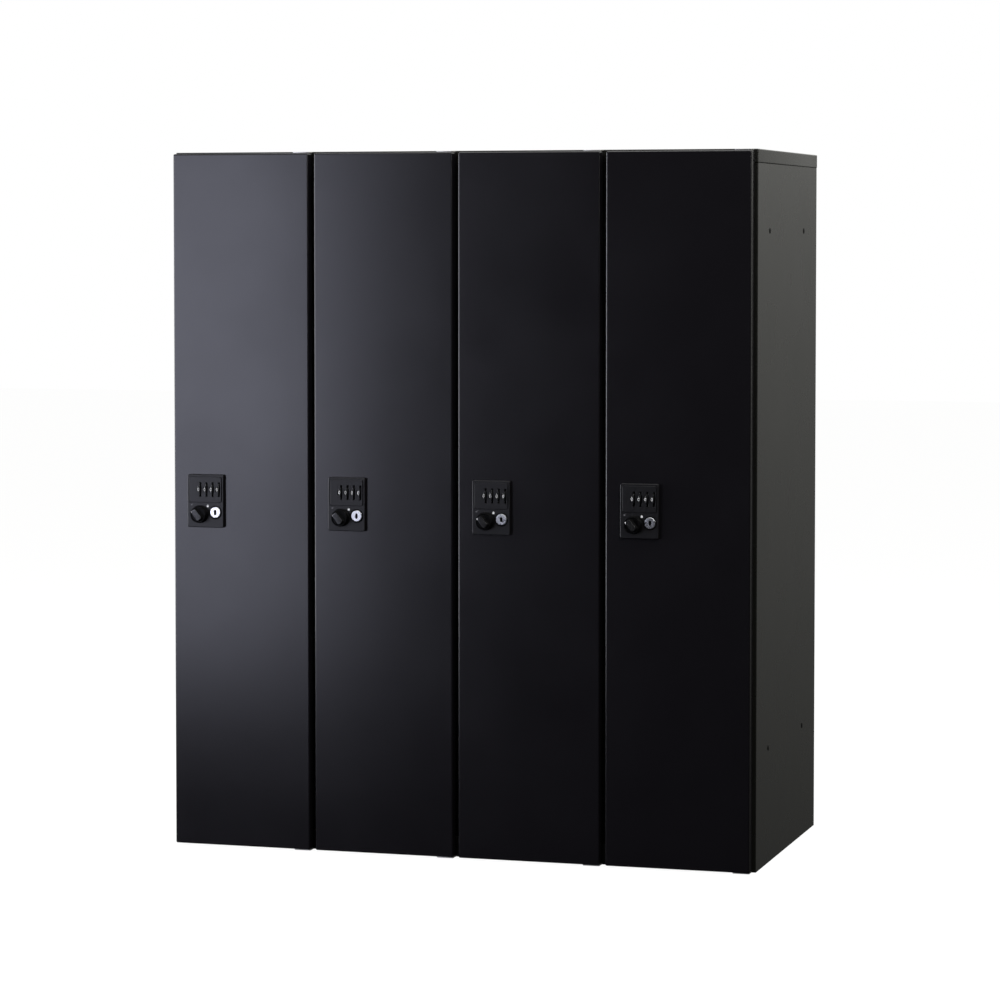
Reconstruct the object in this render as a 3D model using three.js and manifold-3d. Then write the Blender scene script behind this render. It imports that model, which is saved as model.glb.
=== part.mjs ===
// A steel locker cabinet with four narrow doors side by side, each with a combination lock.
// Millimetres, +Z up. X runs along the width, Y from the doors to the back.
// The group's origin is on the floor, under the middle of everything between the knobs and the top cap's back edge.
import * as THREE from "three";
import { mergeVertices } from "three/addons/utils/BufferGeometryUtils.js";
import Module from "manifold-3d";

// ---------------------------------------------------------------- driving dimensions

// Overall
const WIDTH = 900;
const HEIGHT = 1050;
const BODY_DEPTH = 424; // side panels, front edge to back edge
const BAYS = 4;
const SHEET = 0.8; // steel sheet of the body and the doors
const FIT = 0.3; // gap kept between two pieces that rest on each other
const GRID = 0.001; // vertices are placed to this

// Body
const CAP_HEIGHT = 20;
const CAP_OVERHANG = 3; // of the cap, past the side panels' back edge
const BASE_HEIGHT = 30; // top of the compartments' floor
const BASE_LIP = 16; // lip that the cabinet stands on, turned in at the foot of the floor's folds
const POST_HALF = 18; // half width of a partition's front post, and width of a side panel's front flange
const POST_DEPTH = 14;
const BACK_FLANGE = 14;
const CAP_LIP = 14; // lip under the cap, all round
const SHELF_DROP = 255; // cap's top to the hat shelf's top
const SHELF_SETBACK = 48; // body's front to the shelf's front edge
const SHELF_FLANGE = 20;
const SHELF_SIDE_FLANGE = 12;
const JOIN_HOLE_R = 3.5; // holes that bolt two cabinets side by side
const JOIN_HOLE_FROM_FRONT = 82;
const JOIN_HOLE_FROM_BACK = 98;
const JOIN_HOLE_FROM_FLOOR = 171;
const JOIN_HOLE_FROM_TOP = 118;

// Doors
const DOOR_THICK = 20;
const DOOR_STANDOFF = 3; // back of a door to the front of the body
const DOOR_GAP = 9; // between two doors
const DOOR_END_CLEAR = 2.5; // door's top to the cap's top, and door's bottom to the floor
const DOOR_EDGE_R = 2; // bend radius round the door's front and back edges
const DOOR_FLANGE = 12; // flange turned in behind the door
const EDGE_STEPS = 2; // facets in a rounded edge

// Hinges: a bracket on the body carries a pin that turns in the door's end
const HINGE_INSET = 6; // pin axis to the door's hinge edge
const HINGE_DEPTH = 10; // pin axis behind the door's face
const PIN_R = 3;
const PIN_LENGTH = 12;
const BRACKET_THICK = 1.5;
const BRACKET_REACH = 20; // pin axis to the bracket's far end
const BRACKET_LEG = 17.5;
const BRACKET_NOSE = 5; // bracket past the pin axis
const LEG_CLEAR = 6; // pin axis to the leg, outside the door corner's swing

// Lock case
const LOCK_WIDTH = 58;
const LOCK_HEIGHT = 80;
const LOCK_PROUD = 6; // case's front face in front of the door
const LOCK_FROM_EDGE = 52.5; // case's middle to the door's opening edge
const LOCK_CORNER_R = 2.5;
const LOCK_BEVEL = 1;
const HOUSING_RIM = 2.5; // case's plate past its housing, all round
const HOUSING_BACK = 16; // housing's back behind the door's face
const CASE_FRONT_WALL = 3;
const CASE_WALL = 1.5;
const PANEL_RIM = 3.3; // round the raised dial panel
const PANEL_FOOT = 38.1; // plate left below the raised panel, for the knob and the key plug
const PANEL_PROUD = 0.6;

// Dial wheels
const DIALS = 4;
const DIAL_R = 10.2;
const DIAL_SIDE = 9; // case's side to the first wheel's share of the width
const DIAL_SPACE = 4.5; // between two wheels
const DIAL_PROUD = 1.8; // wheel past the dial panel
const DIAL_DIGITS = 10;
const DIAL_NOTCH = 0.7;
const DIAL_OFFSET = 5; // middle of the wheels to the middle of the case
const DIAL_RISE = 0.1; // wheels' axle above the raised panel's middle
const AXLE_R = 1.5;
const SLOT_SIDE_CLEAR = 1;
const SLOT_HEIGHT = 22;

// Knob, latch cam and key plug
const KNOB_SIDE = 6.5; // case's side to the knob's base
const KNOB_TO_PLUG = 3; // knob's base to the key plug, along X
const KNOB_SHARE = 27 / 44; // of the width that the knob's base and the key plug have together
const KNOB_RISE = 20; // knob's axis above the case's foot
const KNOB_BASE_THICK = 2.5;
const KNOB_STEP = 1.5; // barrel inside the base, all round
const KNOB_BARREL_LENGTH = 6.2;
const KNOB_GRIP_WIDTH = 7.5;
const KNOB_GRIP_SHORT = 2; // grip shorter than the barrel is wide
const KNOB_GRIP_HEIGHT = 7.7;
const KNOB_REST_TURN = (38 / 180) * Math.PI; // the grip points up and to the opening edge when unlocked
const SHAFT_R = 4;
const CAM_THICK = 2.5;
const CAM_CLEAR = 1.8; // cam to the back of the post's face
const CAM_HUB_R = 9;
const CAM_WIDTH = 14;
const CAM_REACH = 43;
const SHAFT_END = 2; // shaft past the cam
const STRIKE_ABOVE = 10; // strike slot's top above the knob's axis
const STRIKE_BELOW = 36;
const STRIKE_EDGE = 1.5; // strike slot from the post's back edge
const PLUG_SIDE = 4.5; // key plug to the case's other side
const PLUG_RISE = 23; // key plug's axis above the case's foot
const PLUG_PROUD = 1.2;
const PLUG_LENGTH = 17;
const PLUG_BARREL_WALL = 1.5;
const KEYWAY_WIDTH = 1.8;
const KEYWAY_HEIGHT = 7.5;
const KEYWAY_DEPTH = 8;

// ---------------------------------------------------------------- places worked out from the sizes

const SEAM = HEIGHT - CAP_HEIGHT; // underside of the cap
const PITCH = WIDTH / BAYS;
const BODY_FRONT = DOOR_THICK + DOOR_STANDOFF;
const BODY_BACK = BODY_FRONT + BODY_DEPTH;
const CAP_BACK = BODY_BACK + CAP_OVERHANG;
const BACK_SHEET_Y = BODY_BACK - 2 * SHEET - FIT; // back panel's front face
const SHELF_TOP = HEIGHT - SHELF_DROP;
const DOOR_LOW = DOOR_END_CLEAR;
const DOOR_HIGH = HEIGHT - DOOR_END_CLEAR;
const PLATE_FRONT = -LOCK_PROUD;
const PANEL_FRONT = PLATE_FRONT - PANEL_PROUD;
const AXLE_Y = PANEL_FRONT - DIAL_PROUD + DIAL_R;
const LOCK_Z = HEIGHT / 2;
const PANEL_HEIGHT = LOCK_HEIGHT - PANEL_RIM - PANEL_FOOT;
const DIAL_PITCH = (LOCK_WIDTH - 2 * DIAL_SIDE) / DIALS;
const DIAL_WIDTH = DIAL_PITCH - DIAL_SPACE;
const DIAL_UP = LOCK_HEIGHT / 2 - PANEL_RIM - PANEL_HEIGHT / 2 + DIAL_RISE; // from the case's middle
const FITTINGS_R = (LOCK_WIDTH - KNOB_SIDE - KNOB_TO_PLUG - PLUG_SIDE) / 2; // knob's and plug's radii, added
const KNOB_BASE_R = FITTINGS_R * KNOB_SHARE;
const KNOB_BARREL_R = KNOB_BASE_R - KNOB_STEP;
const KNOB_GRIP_LENGTH = 2 * KNOB_BARREL_R - KNOB_GRIP_SHORT;
const PLUG_R = FITTINGS_R - KNOB_BASE_R;
const KNOB_OFFSET = KNOB_SIDE + KNOB_BASE_R - LOCK_WIDTH / 2; // from the case's middle
const PLUG_OFFSET = LOCK_WIDTH / 2 - PLUG_SIDE - PLUG_R;
const KNOB_Z = LOCK_Z - LOCK_HEIGHT / 2 + KNOB_RISE;
const PLUG_Z = LOCK_Z - LOCK_HEIGHT / 2 + PLUG_RISE;
const KNOB_BACK = PLATE_FRONT - FIT;
const KNOB_FRONT = KNOB_BACK - KNOB_BASE_THICK - KNOB_BARREL_LENGTH - KNOB_GRIP_HEIGHT;
const CAM_Y = BODY_FRONT + SHEET + CAM_CLEAR;
const FRAME_SHIFT = -(CAP_BACK + KNOB_FRONT) / 2;

const bayLeft = (bay) => -WIDTH / 2 + bay * PITCH;
const lockX = (bay) => bayLeft(bay) + DOOR_GAP / 2 + LOCK_FROM_EDGE;
const hingeX = (bay) => bayLeft(bay + 1) - DOOR_GAP / 2 - HINGE_INSET;

// ---------------------------------------------------------------- materials

const paint = (color, roughness, metalness) =>
  new THREE.MeshStandardMaterial({ color, roughness, metalness });
const BODY_PAINT = paint(0x1c1c1b, 0.45, 0.0);
const DOOR_PAINT = paint(0x121214, 0.35, 0.0);
const LOCK_PLASTIC = paint(0x1a1a1c, 0.5, 0.0);
const KNOB_PLASTIC = paint(0x0c0c0d, 0.4, 0.0);
const DIAL_PLASTIC = paint(0x0e0e0f, 0.45, 0.0);
const CHROME = paint(0xd8d8da, 0.15, 1.0);
const ZINC = paint(0x9a9a98, 0.4, 1.0);

// ---------------------------------------------------------------- solids

const wasm = await Module();
wasm.setup();

// A closed three.js geometry as a manifold-3d solid. Vertices are put on a fine grid, so that faces
// meant to lie in one plane do.
function solid(geometry) {
  const bare = geometry.clone();
  bare.deleteAttribute("normal");
  bare.deleteAttribute("uv");
  const { array } = bare.attributes.position;
  for (let i = 0; i < array.length; i += 1) {
    array[i] = Math.round(array[i] / GRID) * GRID;
  }
  const merged = mergeVertices(bare, GRID / 10);
  return new wasm.Manifold(
    new wasm.Mesh({
      numProp: 3,
      vertProperties: new Float32Array(merged.attributes.position.array),
      triVerts: new Uint32Array(merged.index.array),
    }),
  );
}

const joined = (solids) => solids.reduce((all, next) => all.add(next));

// A box between two values on each axis, given in either order.
function box([xa, xb], [ya, yb], [za, zb]) {
  const size = [xb - xa, yb - ya, zb - za].map(Math.abs);
  const middle = [(xa + xb) / 2, (ya + yb) / 2, (za + zb) / 2];
  return solid(new THREE.BoxGeometry(...size).translate(...middle));
}

// A round rod along Y between two values of y.
function rodY(x, z, radius, ya, yb, sides = 28) {
  const geometry = new THREE.CylinderGeometry(radius, radius, yb - ya, sides);
  return solid(geometry.translate(x, (ya + yb) / 2, z));
}

function rodX(y, z, radius, xa, xb, sides = 16) {
  const geometry = new THREE.CylinderGeometry(radius, radius, xb - xa, sides).rotateZ(Math.PI / 2);
  return solid(geometry.translate((xa + xb) / 2, y, z));
}

function rodZ(x, y, radius, za, zb, sides = 16) {
  const geometry = new THREE.CylinderGeometry(radius, radius, zb - za, sides).rotateX(Math.PI / 2);
  return solid(geometry.translate(x, y, (za + zb) / 2));
}

// The outline of a rectangle with round corners, about its middle.
function roundedRectangle(width, height, radius) {
  const x = width / 2;
  const y = height / 2;
  const shape = new THREE.Shape();
  shape.moveTo(x, y - radius);
  shape.absarc(x - radius, y - radius, radius, 0, Math.PI / 2);
  shape.absarc(radius - x, y - radius, radius, Math.PI / 2, Math.PI);
  shape.absarc(radius - x, radius - y, radius, Math.PI, 1.5 * Math.PI);
  shape.absarc(x - radius, radius - y, radius, 1.5 * Math.PI, 2 * Math.PI);
  return shape;
}

// An outline drawn in X and Z, given a thickness from its front face at y back to y + depth.
function plate(shape, x, z, y, depth, curveSegments = EDGE_STEPS) {
  const options = { depth, bevelEnabled: false, curveSegments };
  const geometry = new THREE.ExtrudeGeometry(shape, options).rotateX(Math.PI / 2);
  return solid(geometry.translate(x, y + depth, z));
}

// A block whose four long corners and whose front and back edges all have one radius.
function softBlock([xa, xb], [ya, yb], [za, zb], radius) {
  // The outline is drawn inside the block by the radius; the bevel brings it out to full size.
  const outline = roundedRectangle(xb - xa - 2 * radius, zb - za - 2 * radius, radius / 2);
  const options = {
    depth: yb - ya - 2 * radius,
    curveSegments: 2,
    bevelThickness: radius,
    bevelSize: radius,
    bevelSegments: EDGE_STEPS,
  };
  const geometry = new THREE.ExtrudeGeometry(outline, options).rotateX(Math.PI / 2);
  return solid(geometry.translate((xa + xb) / 2, yb - radius, (za + zb) / 2));
}

// ---------------------------------------------------------------- the exported group

const cabinet = new THREE.Group();
cabinet.position.y = FRAME_SHIFT;

function addPiece(name, made, material) {
  const { vertProperties, triVerts } = made.simplify(GRID).getMesh();
  const geometry = new THREE.BufferGeometry();
  geometry.setAttribute("position", new THREE.BufferAttribute(vertProperties, 3));
  geometry.setIndex(new THREE.BufferAttribute(triVerts, 1));
  geometry.computeVertexNormals();
  const mesh = new THREE.Mesh(geometry, material);
  mesh.name = name;
  cabinet.add(mesh);
}

// ---------------------------------------------------------------- body

// The slot in a post's side wall that the latch cam swings into.
function strikeSlot(wallX) {
  return box(
    [wallX - 2 * SHEET, wallX + 2 * SHEET],
    [BODY_FRONT + SHEET + FIT, BODY_FRONT + POST_DEPTH - STRIKE_EDGE],
    [KNOB_Z - STRIKE_BELOW, KNOB_Z + STRIKE_ABOVE],
  );
}

// A side panel folded in at the front, back and top; side is -1 on the left and 1 on the right.
function sidePanel(side) {
  const from = (inset) => side * (WIDTH / 2 - inset);
  const top = SEAM - FIT;
  const post = POST_HALF;
  const wall = box([from(0), from(SHEET)], [BODY_FRONT, BODY_BACK], [0, top]);
  const face = box([from(0), from(post)], [BODY_FRONT, BODY_FRONT + SHEET], [0, top]);
  const lip = box([from(post - SHEET), from(post)], [BODY_FRONT, BODY_FRONT + POST_DEPTH], [0, top]);
  const back = box([from(0), from(BACK_FLANGE)], [BODY_BACK - SHEET, BODY_BACK], [0, top]);
  const shoulder = box([from(0), from(CAP_LIP)], [BODY_FRONT, BACK_SHEET_Y - FIT], [top - SHEET, top]);
  let panel = joined([wall, face, lip, back, shoulder]);
  for (const y of [BODY_FRONT + JOIN_HOLE_FROM_FRONT, BODY_BACK - JOIN_HOLE_FROM_BACK]) {
    for (const z of [JOIN_HOLE_FROM_FLOOR, HEIGHT - JOIN_HOLE_FROM_TOP]) {
      panel = panel.subtract(rodX(y, z, JOIN_HOLE_R, from(SHEET) - SHEET, from(0) + SHEET, 20));
    }
  }
  return side < 0 ? panel.subtract(strikeSlot(from(post))) : panel;
}

// A partition is one sheet with a U-shaped post along its front edge.
function partition(x) {
  const low = BASE_HEIGHT + FIT;
  const top = SEAM - FIT;
  const sheet = [x - SHEET / 2, x + SHEET / 2];
  const faceY = [BODY_FRONT, BODY_FRONT + SHEET];
  const wallY = [BODY_FRONT, BODY_FRONT + POST_DEPTH];
  const upperY = [BODY_FRONT + CAP_LIP + FIT, CAP_BACK - CAP_LIP - FIT];
  return joined([
    box(sheet, [BODY_FRONT, BACK_SHEET_Y - FIT], [low, top]),
    box(sheet, upperY, [top - SHEET, HEIGHT - SHEET - FIT]),
    box([x - POST_HALF, x + POST_HALF], faceY, [low, top]),
    box([x - POST_HALF, x - POST_HALF + SHEET], wallY, [low, top]),
    box([x + POST_HALF - SHEET, x + POST_HALF], wallY, [low, top]),
  ]).subtract(strikeSlot(x + POST_HALF));
}

// The cap is a shallow tray, open side down, with a lip turned in under each of its four sides.
function topCap() {
  const outside = box([-WIDTH / 2, WIDTH / 2], [BODY_FRONT, CAP_BACK], [SEAM, HEIGHT]);
  const room = box(
    [-WIDTH / 2 + SHEET, WIDTH / 2 - SHEET],
    [BODY_FRONT + SHEET, CAP_BACK - SHEET],
    [SEAM + SHEET, HEIGHT - SHEET],
  );
  const mouth = box(
    [-WIDTH / 2 + CAP_LIP, WIDTH / 2 - CAP_LIP],
    [BODY_FRONT + CAP_LIP, CAP_BACK - CAP_LIP],
    [SEAM - SHEET, SEAM + 2 * SHEET],
  );
  return outside.subtract(room).subtract(mouth);
}

// The floor of the compartments, folded down to the ground on all four sides and in again at the foot.
function bottomPanel() {
  const betweenPosts = WIDTH / 2 - POST_HALF - FIT;
  const betweenSides = WIDTH / 2 - SHEET - FIT;
  const behindPosts = BODY_FRONT + POST_DEPTH + FIT;
  const back = BACK_SHEET_Y - FIT;
  const outside = box([-betweenPosts, betweenPosts], [BODY_FRONT, back], [0, BASE_HEIGHT]).add(
    box([-betweenSides, betweenSides], [behindPosts, back], [0, BASE_HEIGHT]),
  );
  const room = box(
    [-betweenPosts + SHEET, betweenPosts - SHEET],
    [BODY_FRONT + SHEET, back - SHEET],
    [SHEET, BASE_HEIGHT - SHEET],
  ).add(
    box(
      [-betweenSides + SHEET, betweenSides - SHEET],
      [behindPosts + SHEET, back - SHEET],
      [SHEET, BASE_HEIGHT - SHEET],
    ),
  );
  const mouth = box(
    [-betweenPosts + BASE_LIP, betweenPosts - BASE_LIP],
    [BODY_FRONT + BASE_LIP, back - BASE_LIP],
    [-SHEET, 2 * SHEET],
  );
  return outside.subtract(room).subtract(mouth);
}

function backPanel() {
  const half = WIDTH / 2 - SHEET - FIT;
  return box([-half, half], [BACK_SHEET_Y, BACK_SHEET_Y + SHEET], [0, SEAM - FIT]);
}

// A hat shelf with a deep fold along its front and a shallow one down each side.
function shelf(bay) {
  const leftWall = bay === 0 ? SHEET : SHEET / 2;
  const rightWall = bay === BAYS - 1 ? SHEET : SHEET / 2;
  const left = bayLeft(bay) + leftWall + FIT;
  const right = bayLeft(bay + 1) - rightWall - FIT;
  const depth = [BODY_FRONT + SHELF_SETBACK, BACK_SHEET_Y - FIT];
  const sideFold = [SHELF_TOP - SHELF_SIDE_FLANGE, SHELF_TOP];
  return joined([
    box([left, right], depth, [SHELF_TOP - SHEET, SHELF_TOP]),
    box([left, right], [depth[0], depth[0] + SHEET], [SHELF_TOP - SHELF_FLANGE, SHELF_TOP]),
    box([left, left + SHEET], depth, sideFold),
    box([right - SHEET, right], depth, sideFold),
  ]);
}

addPiece("left_side_panel", sidePanel(-1), BODY_PAINT);
addPiece("right_side_panel", sidePanel(1), BODY_PAINT);
addPiece("top_cap", topCap(), BODY_PAINT);
addPiece("bottom_panel", bottomPanel(), BODY_PAINT);
addPiece("back_panel", backPanel(), BODY_PAINT);
for (let wall = 1; wall < BAYS; wall += 1) {
  addPiece(`partition_${wall}`, partition(bayLeft(wall)), BODY_PAINT);
}

// ---------------------------------------------------------------- doors and hinges

const doorX = (bay) => [bayLeft(bay) + DOOR_GAP / 2, bayLeft(bay + 1) - DOOR_GAP / 2];
const inward = ([a, b], inset) => [a + inset, b - inset];
const housingWidth = LOCK_WIDTH - 2 * HOUSING_RIM;
const housingHeight = LOCK_HEIGHT - 2 * HOUSING_RIM;

// The outer skin: a pan with rounded edges and a flange turned in behind.
function doorShell(bay) {
  const x = doorX(bay);
  const y = [0, DOOR_THICK];
  const z = [DOOR_LOW, DOOR_HIGH];
  const outside = softBlock(x, y, z, DOOR_EDGE_R);
  const inside = softBlock(inward(x, SHEET), inward(y, SHEET), inward(z, SHEET), DOOR_EDGE_R - SHEET);
  const mouth = box(
    inward(x, DOOR_FLANGE),
    [DOOR_THICK - 2 * SHEET, DOOR_THICK + SHEET],
    inward(z, DOOR_FLANGE),
  );
  const lockHole = box(
    inward([lockX(bay) - housingWidth / 2, lockX(bay) + housingWidth / 2], -FIT),
    [-SHEET, 2 * SHEET],
    inward([LOCK_Z - housingHeight / 2, LOCK_Z + housingHeight / 2], -FIT),
  );
  const pinHole = (za, zb) => rodZ(hingeX(bay), HINGE_DEPTH, PIN_R + FIT, za, zb);
  return outside
    .subtract(inside)
    .subtract(mouth)
    .subtract(lockHole)
    .subtract(pinHole(DOOR_LOW - SHEET, DOOR_LOW + 2 * SHEET))
    .subtract(pinHole(DOOR_HIGH - 2 * SHEET, DOOR_HIGH + SHEET));
}

// The sheet that closes the door's back, inside the shell's flange.
function doorLiner(bay) {
  const inset = DOOR_EDGE_R + FIT;
  const back = DOOR_THICK - SHEET - FIT;
  const sheet = box(
    inward(doorX(bay), inset),
    [back - SHEET, back],
    inward([DOOR_LOW, DOOR_HIGH], inset),
  );
  return sheet.subtract(
    rodY(lockX(bay) + KNOB_OFFSET, KNOB_Z, SHAFT_R + 2, back - 2 * SHEET, back + SHEET, 24),
  );
}

// A bracket seen from its outer side at level z; up is 1 where its pin points up and -1 where it points down.
function hingeBracket(bay, level, up) {
  const x = hingeX(bay);
  const back = BODY_FRONT - FIT;
  const far = level + up * BRACKET_THICK;
  const tab = box(
    [x - BRACKET_REACH, x + BRACKET_NOSE],
    [HINGE_DEPTH - BRACKET_NOSE, back],
    [level, far],
  );
  const leg = box(
    [x - BRACKET_REACH, x - LEG_CLEAR],
    [back - BRACKET_THICK, back],
    [level, level + up * BRACKET_LEG],
  );
  const pinEnds = [level + (up * BRACKET_THICK) / 2, far + up * PIN_LENGTH].sort((a, b) => a - b);
  return joined([tab, leg, rodZ(x, HINGE_DEPTH, PIN_R, ...pinEnds)]);
}

// ---------------------------------------------------------------- lock

// The case: a thick face plate on a hollow housing, with the dial wheels' slots and axle.
function lockCase(bay) {
  const x = lockX(bay);
  const faceDepth = LOCK_PROUD - FIT;
  const face = new THREE.ExtrudeGeometry(
    roundedRectangle(LOCK_WIDTH - 2 * LOCK_BEVEL, LOCK_HEIGHT - 2 * LOCK_BEVEL, LOCK_CORNER_R - LOCK_BEVEL),
    {
      depth: faceDepth,
      curveSegments: EDGE_STEPS,
      bevelThickness: LOCK_BEVEL,
      bevelSize: LOCK_BEVEL,
      bevelSegments: 2,
    },
  ).rotateX(Math.PI / 2);
  const facePlate = solid(face.translate(x, LOCK_BEVEL - FIT, LOCK_Z)).intersect(
    box([x - LOCK_WIDTH, x + LOCK_WIDTH], [PLATE_FRONT, -FIT], [LOCK_Z - LOCK_HEIGHT, LOCK_Z + LOCK_HEIGHT]),
  );
  const housingX = [x - housingWidth / 2, x + housingWidth / 2];
  const housingZ = [LOCK_Z - housingHeight / 2, LOCK_Z + housingHeight / 2];
  const housing = box(housingX, [-2 * FIT, HOUSING_BACK], housingZ);
  const panelTop = LOCK_Z + LOCK_HEIGHT / 2 - PANEL_RIM;
  const panel = plate(
    roundedRectangle(LOCK_WIDTH - 2 * PANEL_RIM, PANEL_HEIGHT, LOCK_CORNER_R),
    x,
    panelTop - PANEL_HEIGHT / 2,
    PANEL_FRONT,
    PANEL_PROUD + FIT,
  );
  const room = box(
    inward(housingX, CASE_WALL),
    [PLATE_FRONT + CASE_FRONT_WALL, HOUSING_BACK + SHEET],
    inward(housingZ, CASE_WALL),
  );
  const barrelR = PLUG_R + FIT + PLUG_BARREL_WALL;
  const barrel = rodY(x + PLUG_OFFSET, PLUG_Z, barrelR, PLATE_FRONT + LOCK_BEVEL, PLATE_FRONT + PLUG_LENGTH);
  const axleEnds = [housingX[0] + FIT, housingX[1] - FIT];
  let made = joined([facePlate, housing, panel]).subtract(room);
  for (let dial = 0; dial < DIALS; dial += 1) {
    made = made.subtract(dialSlot(dialX(bay, dial)));
  }
  return made
    .add(rodX(AXLE_Y, LOCK_Z + DIAL_UP, AXLE_R, ...axleEnds))
    .add(barrel)
    .subtract(rodY(x + KNOB_OFFSET, KNOB_Z, SHAFT_R + FIT, PANEL_FRONT - SHEET, HOUSING_BACK))
    .subtract(rodY(x + PLUG_OFFSET, PLUG_Z, PLUG_R + FIT, PANEL_FRONT - SHEET, HOUSING_BACK));
}

const dialX = (bay, dial) => lockX(bay) + DIAL_OFFSET + (dial - (DIALS - 1) / 2) * DIAL_PITCH;

function dialSlot(x) {
  const half = DIAL_WIDTH / 2 + SLOT_SIDE_CLEAR;
  const height = [LOCK_Z + DIAL_UP - SLOT_HEIGHT / 2, LOCK_Z + DIAL_UP + SLOT_HEIGHT / 2];
  return box([x - half, x + half], [PANEL_FRONT - SHEET, PLATE_FRONT + CASE_FRONT_WALL + SHEET], height);
}

// A wheel with a flat for each digit, a notch between each two, and a bore for the axle.
function dialWheel(bay, dial) {
  const step = (2 * Math.PI) / DIAL_DIGITS;
  const corners = [
    [-0.5, DIAL_R - DIAL_NOTCH],
    [-0.38, DIAL_R],
    [0.38, DIAL_R],
  ];
  const points = [];
  for (let digit = 0; digit < DIAL_DIGITS; digit += 1) {
    for (const [share, radius] of corners) {
      const angle = (digit + share) * step;
      points.push(new THREE.Vector2(radius * Math.cos(angle), radius * Math.sin(angle)));
    }
  }
  const outline = new THREE.Shape(points);
  const bore = new THREE.Path().absarc(0, 0, AXLE_R + FIT, 0, 2 * Math.PI);
  outline.holes.push(bore);
  const options = { depth: DIAL_WIDTH, bevelEnabled: false, curveSegments: 12 };
  const geometry = new THREE.ExtrudeGeometry(outline, options).rotateY(Math.PI / 2);
  return solid(geometry.translate(dialX(bay, dial) - DIAL_WIDTH / 2, AXLE_Y, LOCK_Z + DIAL_UP));
}

// The knob and its shaft, which reaches through the door to the cam.
function knob(bay) {
  const x = lockX(bay) + KNOB_OFFSET;
  const barrelBack = KNOB_BACK - KNOB_BASE_THICK;
  const gripBack = barrelBack - KNOB_BARREL_LENGTH;
  const grip = new THREE.ExtrudeGeometry(
    roundedRectangle(KNOB_GRIP_WIDTH, KNOB_GRIP_LENGTH, KNOB_GRIP_WIDTH / 3),
    { depth: gripBack - KNOB_FRONT + FIT, bevelEnabled: false, curveSegments: 4 },
  )
    .rotateX(Math.PI / 2)
    .rotateY(-KNOB_REST_TURN)
    .translate(x, gripBack + FIT, KNOB_Z);
  return joined([
    rodY(x, KNOB_Z, KNOB_BASE_R, barrelBack, KNOB_BACK),
    rodY(x, KNOB_Z, KNOB_BARREL_R, gripBack, barrelBack + FIT),
    solid(grip),
    rodY(x, KNOB_Z, SHAFT_R, barrelBack, CAM_Y + CAM_THICK + SHAFT_END, 24),
  ]);
}

// The latch cam hangs down when unlocked and swings behind the post's face when the knob is turned.
function latchCam(bay) {
  const x = lockX(bay) + KNOB_OFFSET;
  const y = [CAM_Y, CAM_Y + CAM_THICK];
  const tongue = plate(
    roundedRectangle(CAM_WIDTH, CAM_REACH, CAM_WIDTH / 4),
    x,
    KNOB_Z - CAM_REACH / 2,
    CAM_Y,
    CAM_THICK,
  );
  return rodY(x, KNOB_Z, CAM_HUB_R, ...y)
    .add(tongue)
    .subtract(rodY(x, KNOB_Z, SHAFT_R + FIT, CAM_Y - SHEET, CAM_Y + CAM_THICK + SHEET, 24));
}

function keyPlug(bay) {
  const x = lockX(bay) + PLUG_OFFSET;
  const front = PLATE_FRONT - PLUG_PROUD;
  return rodY(x, PLUG_Z, PLUG_R, front, front + PLUG_LENGTH).subtract(
    box(
      [x - KEYWAY_WIDTH / 2, x + KEYWAY_WIDTH / 2],
      [front - SHEET, front + KEYWAY_DEPTH],
      [PLUG_Z - KEYWAY_HEIGHT / 2, PLUG_Z + KEYWAY_HEIGHT / 2],
    ),
  );
}

for (let bay = 0; bay < BAYS; bay += 1) {
  const number = bay + 1;
  addPiece(`shelf_${number}`, shelf(bay), BODY_PAINT);
  addPiece(`hinge_bottom_${number}`, hingeBracket(bay, (DOOR_END_CLEAR - BRACKET_THICK) / 2, 1), ZINC);
  addPiece(`hinge_top_${number}`, hingeBracket(bay, HEIGHT - (DOOR_END_CLEAR - BRACKET_THICK) / 2, -1), ZINC);
  addPiece(`door_shell_${number}`, doorShell(bay), DOOR_PAINT);
  addPiece(`door_liner_${number}`, doorLiner(bay), BODY_PAINT);
  addPiece(`lock_case_${number}`, lockCase(bay), LOCK_PLASTIC);
  addPiece(`knob_${number}`, knob(bay), KNOB_PLASTIC);
  addPiece(`latch_cam_${number}`, latchCam(bay), ZINC);
  addPiece(`key_plug_${number}`, keyPlug(bay), CHROME);
  for (let dial = 0; dial < DIALS; dial += 1) {
    addPiece(`dial_${number}${"abcd"[dial]}`, dialWheel(bay, dial), DIAL_PLASTIC);
  }
}

export default cabinet;
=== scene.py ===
"""A row of four steel lockers in one cabinet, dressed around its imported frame.

Everything is in metres in the frame's own axes: +Z up, the doors face -Y, +X to the right. Sizes and
places come from the frame's nodes, so the looks follow the solids.
"""

import logging
import math
from collections.abc import Iterable, Sequence
from dataclasses import dataclass, field
from enum import Enum
from functools import cached_property

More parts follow.
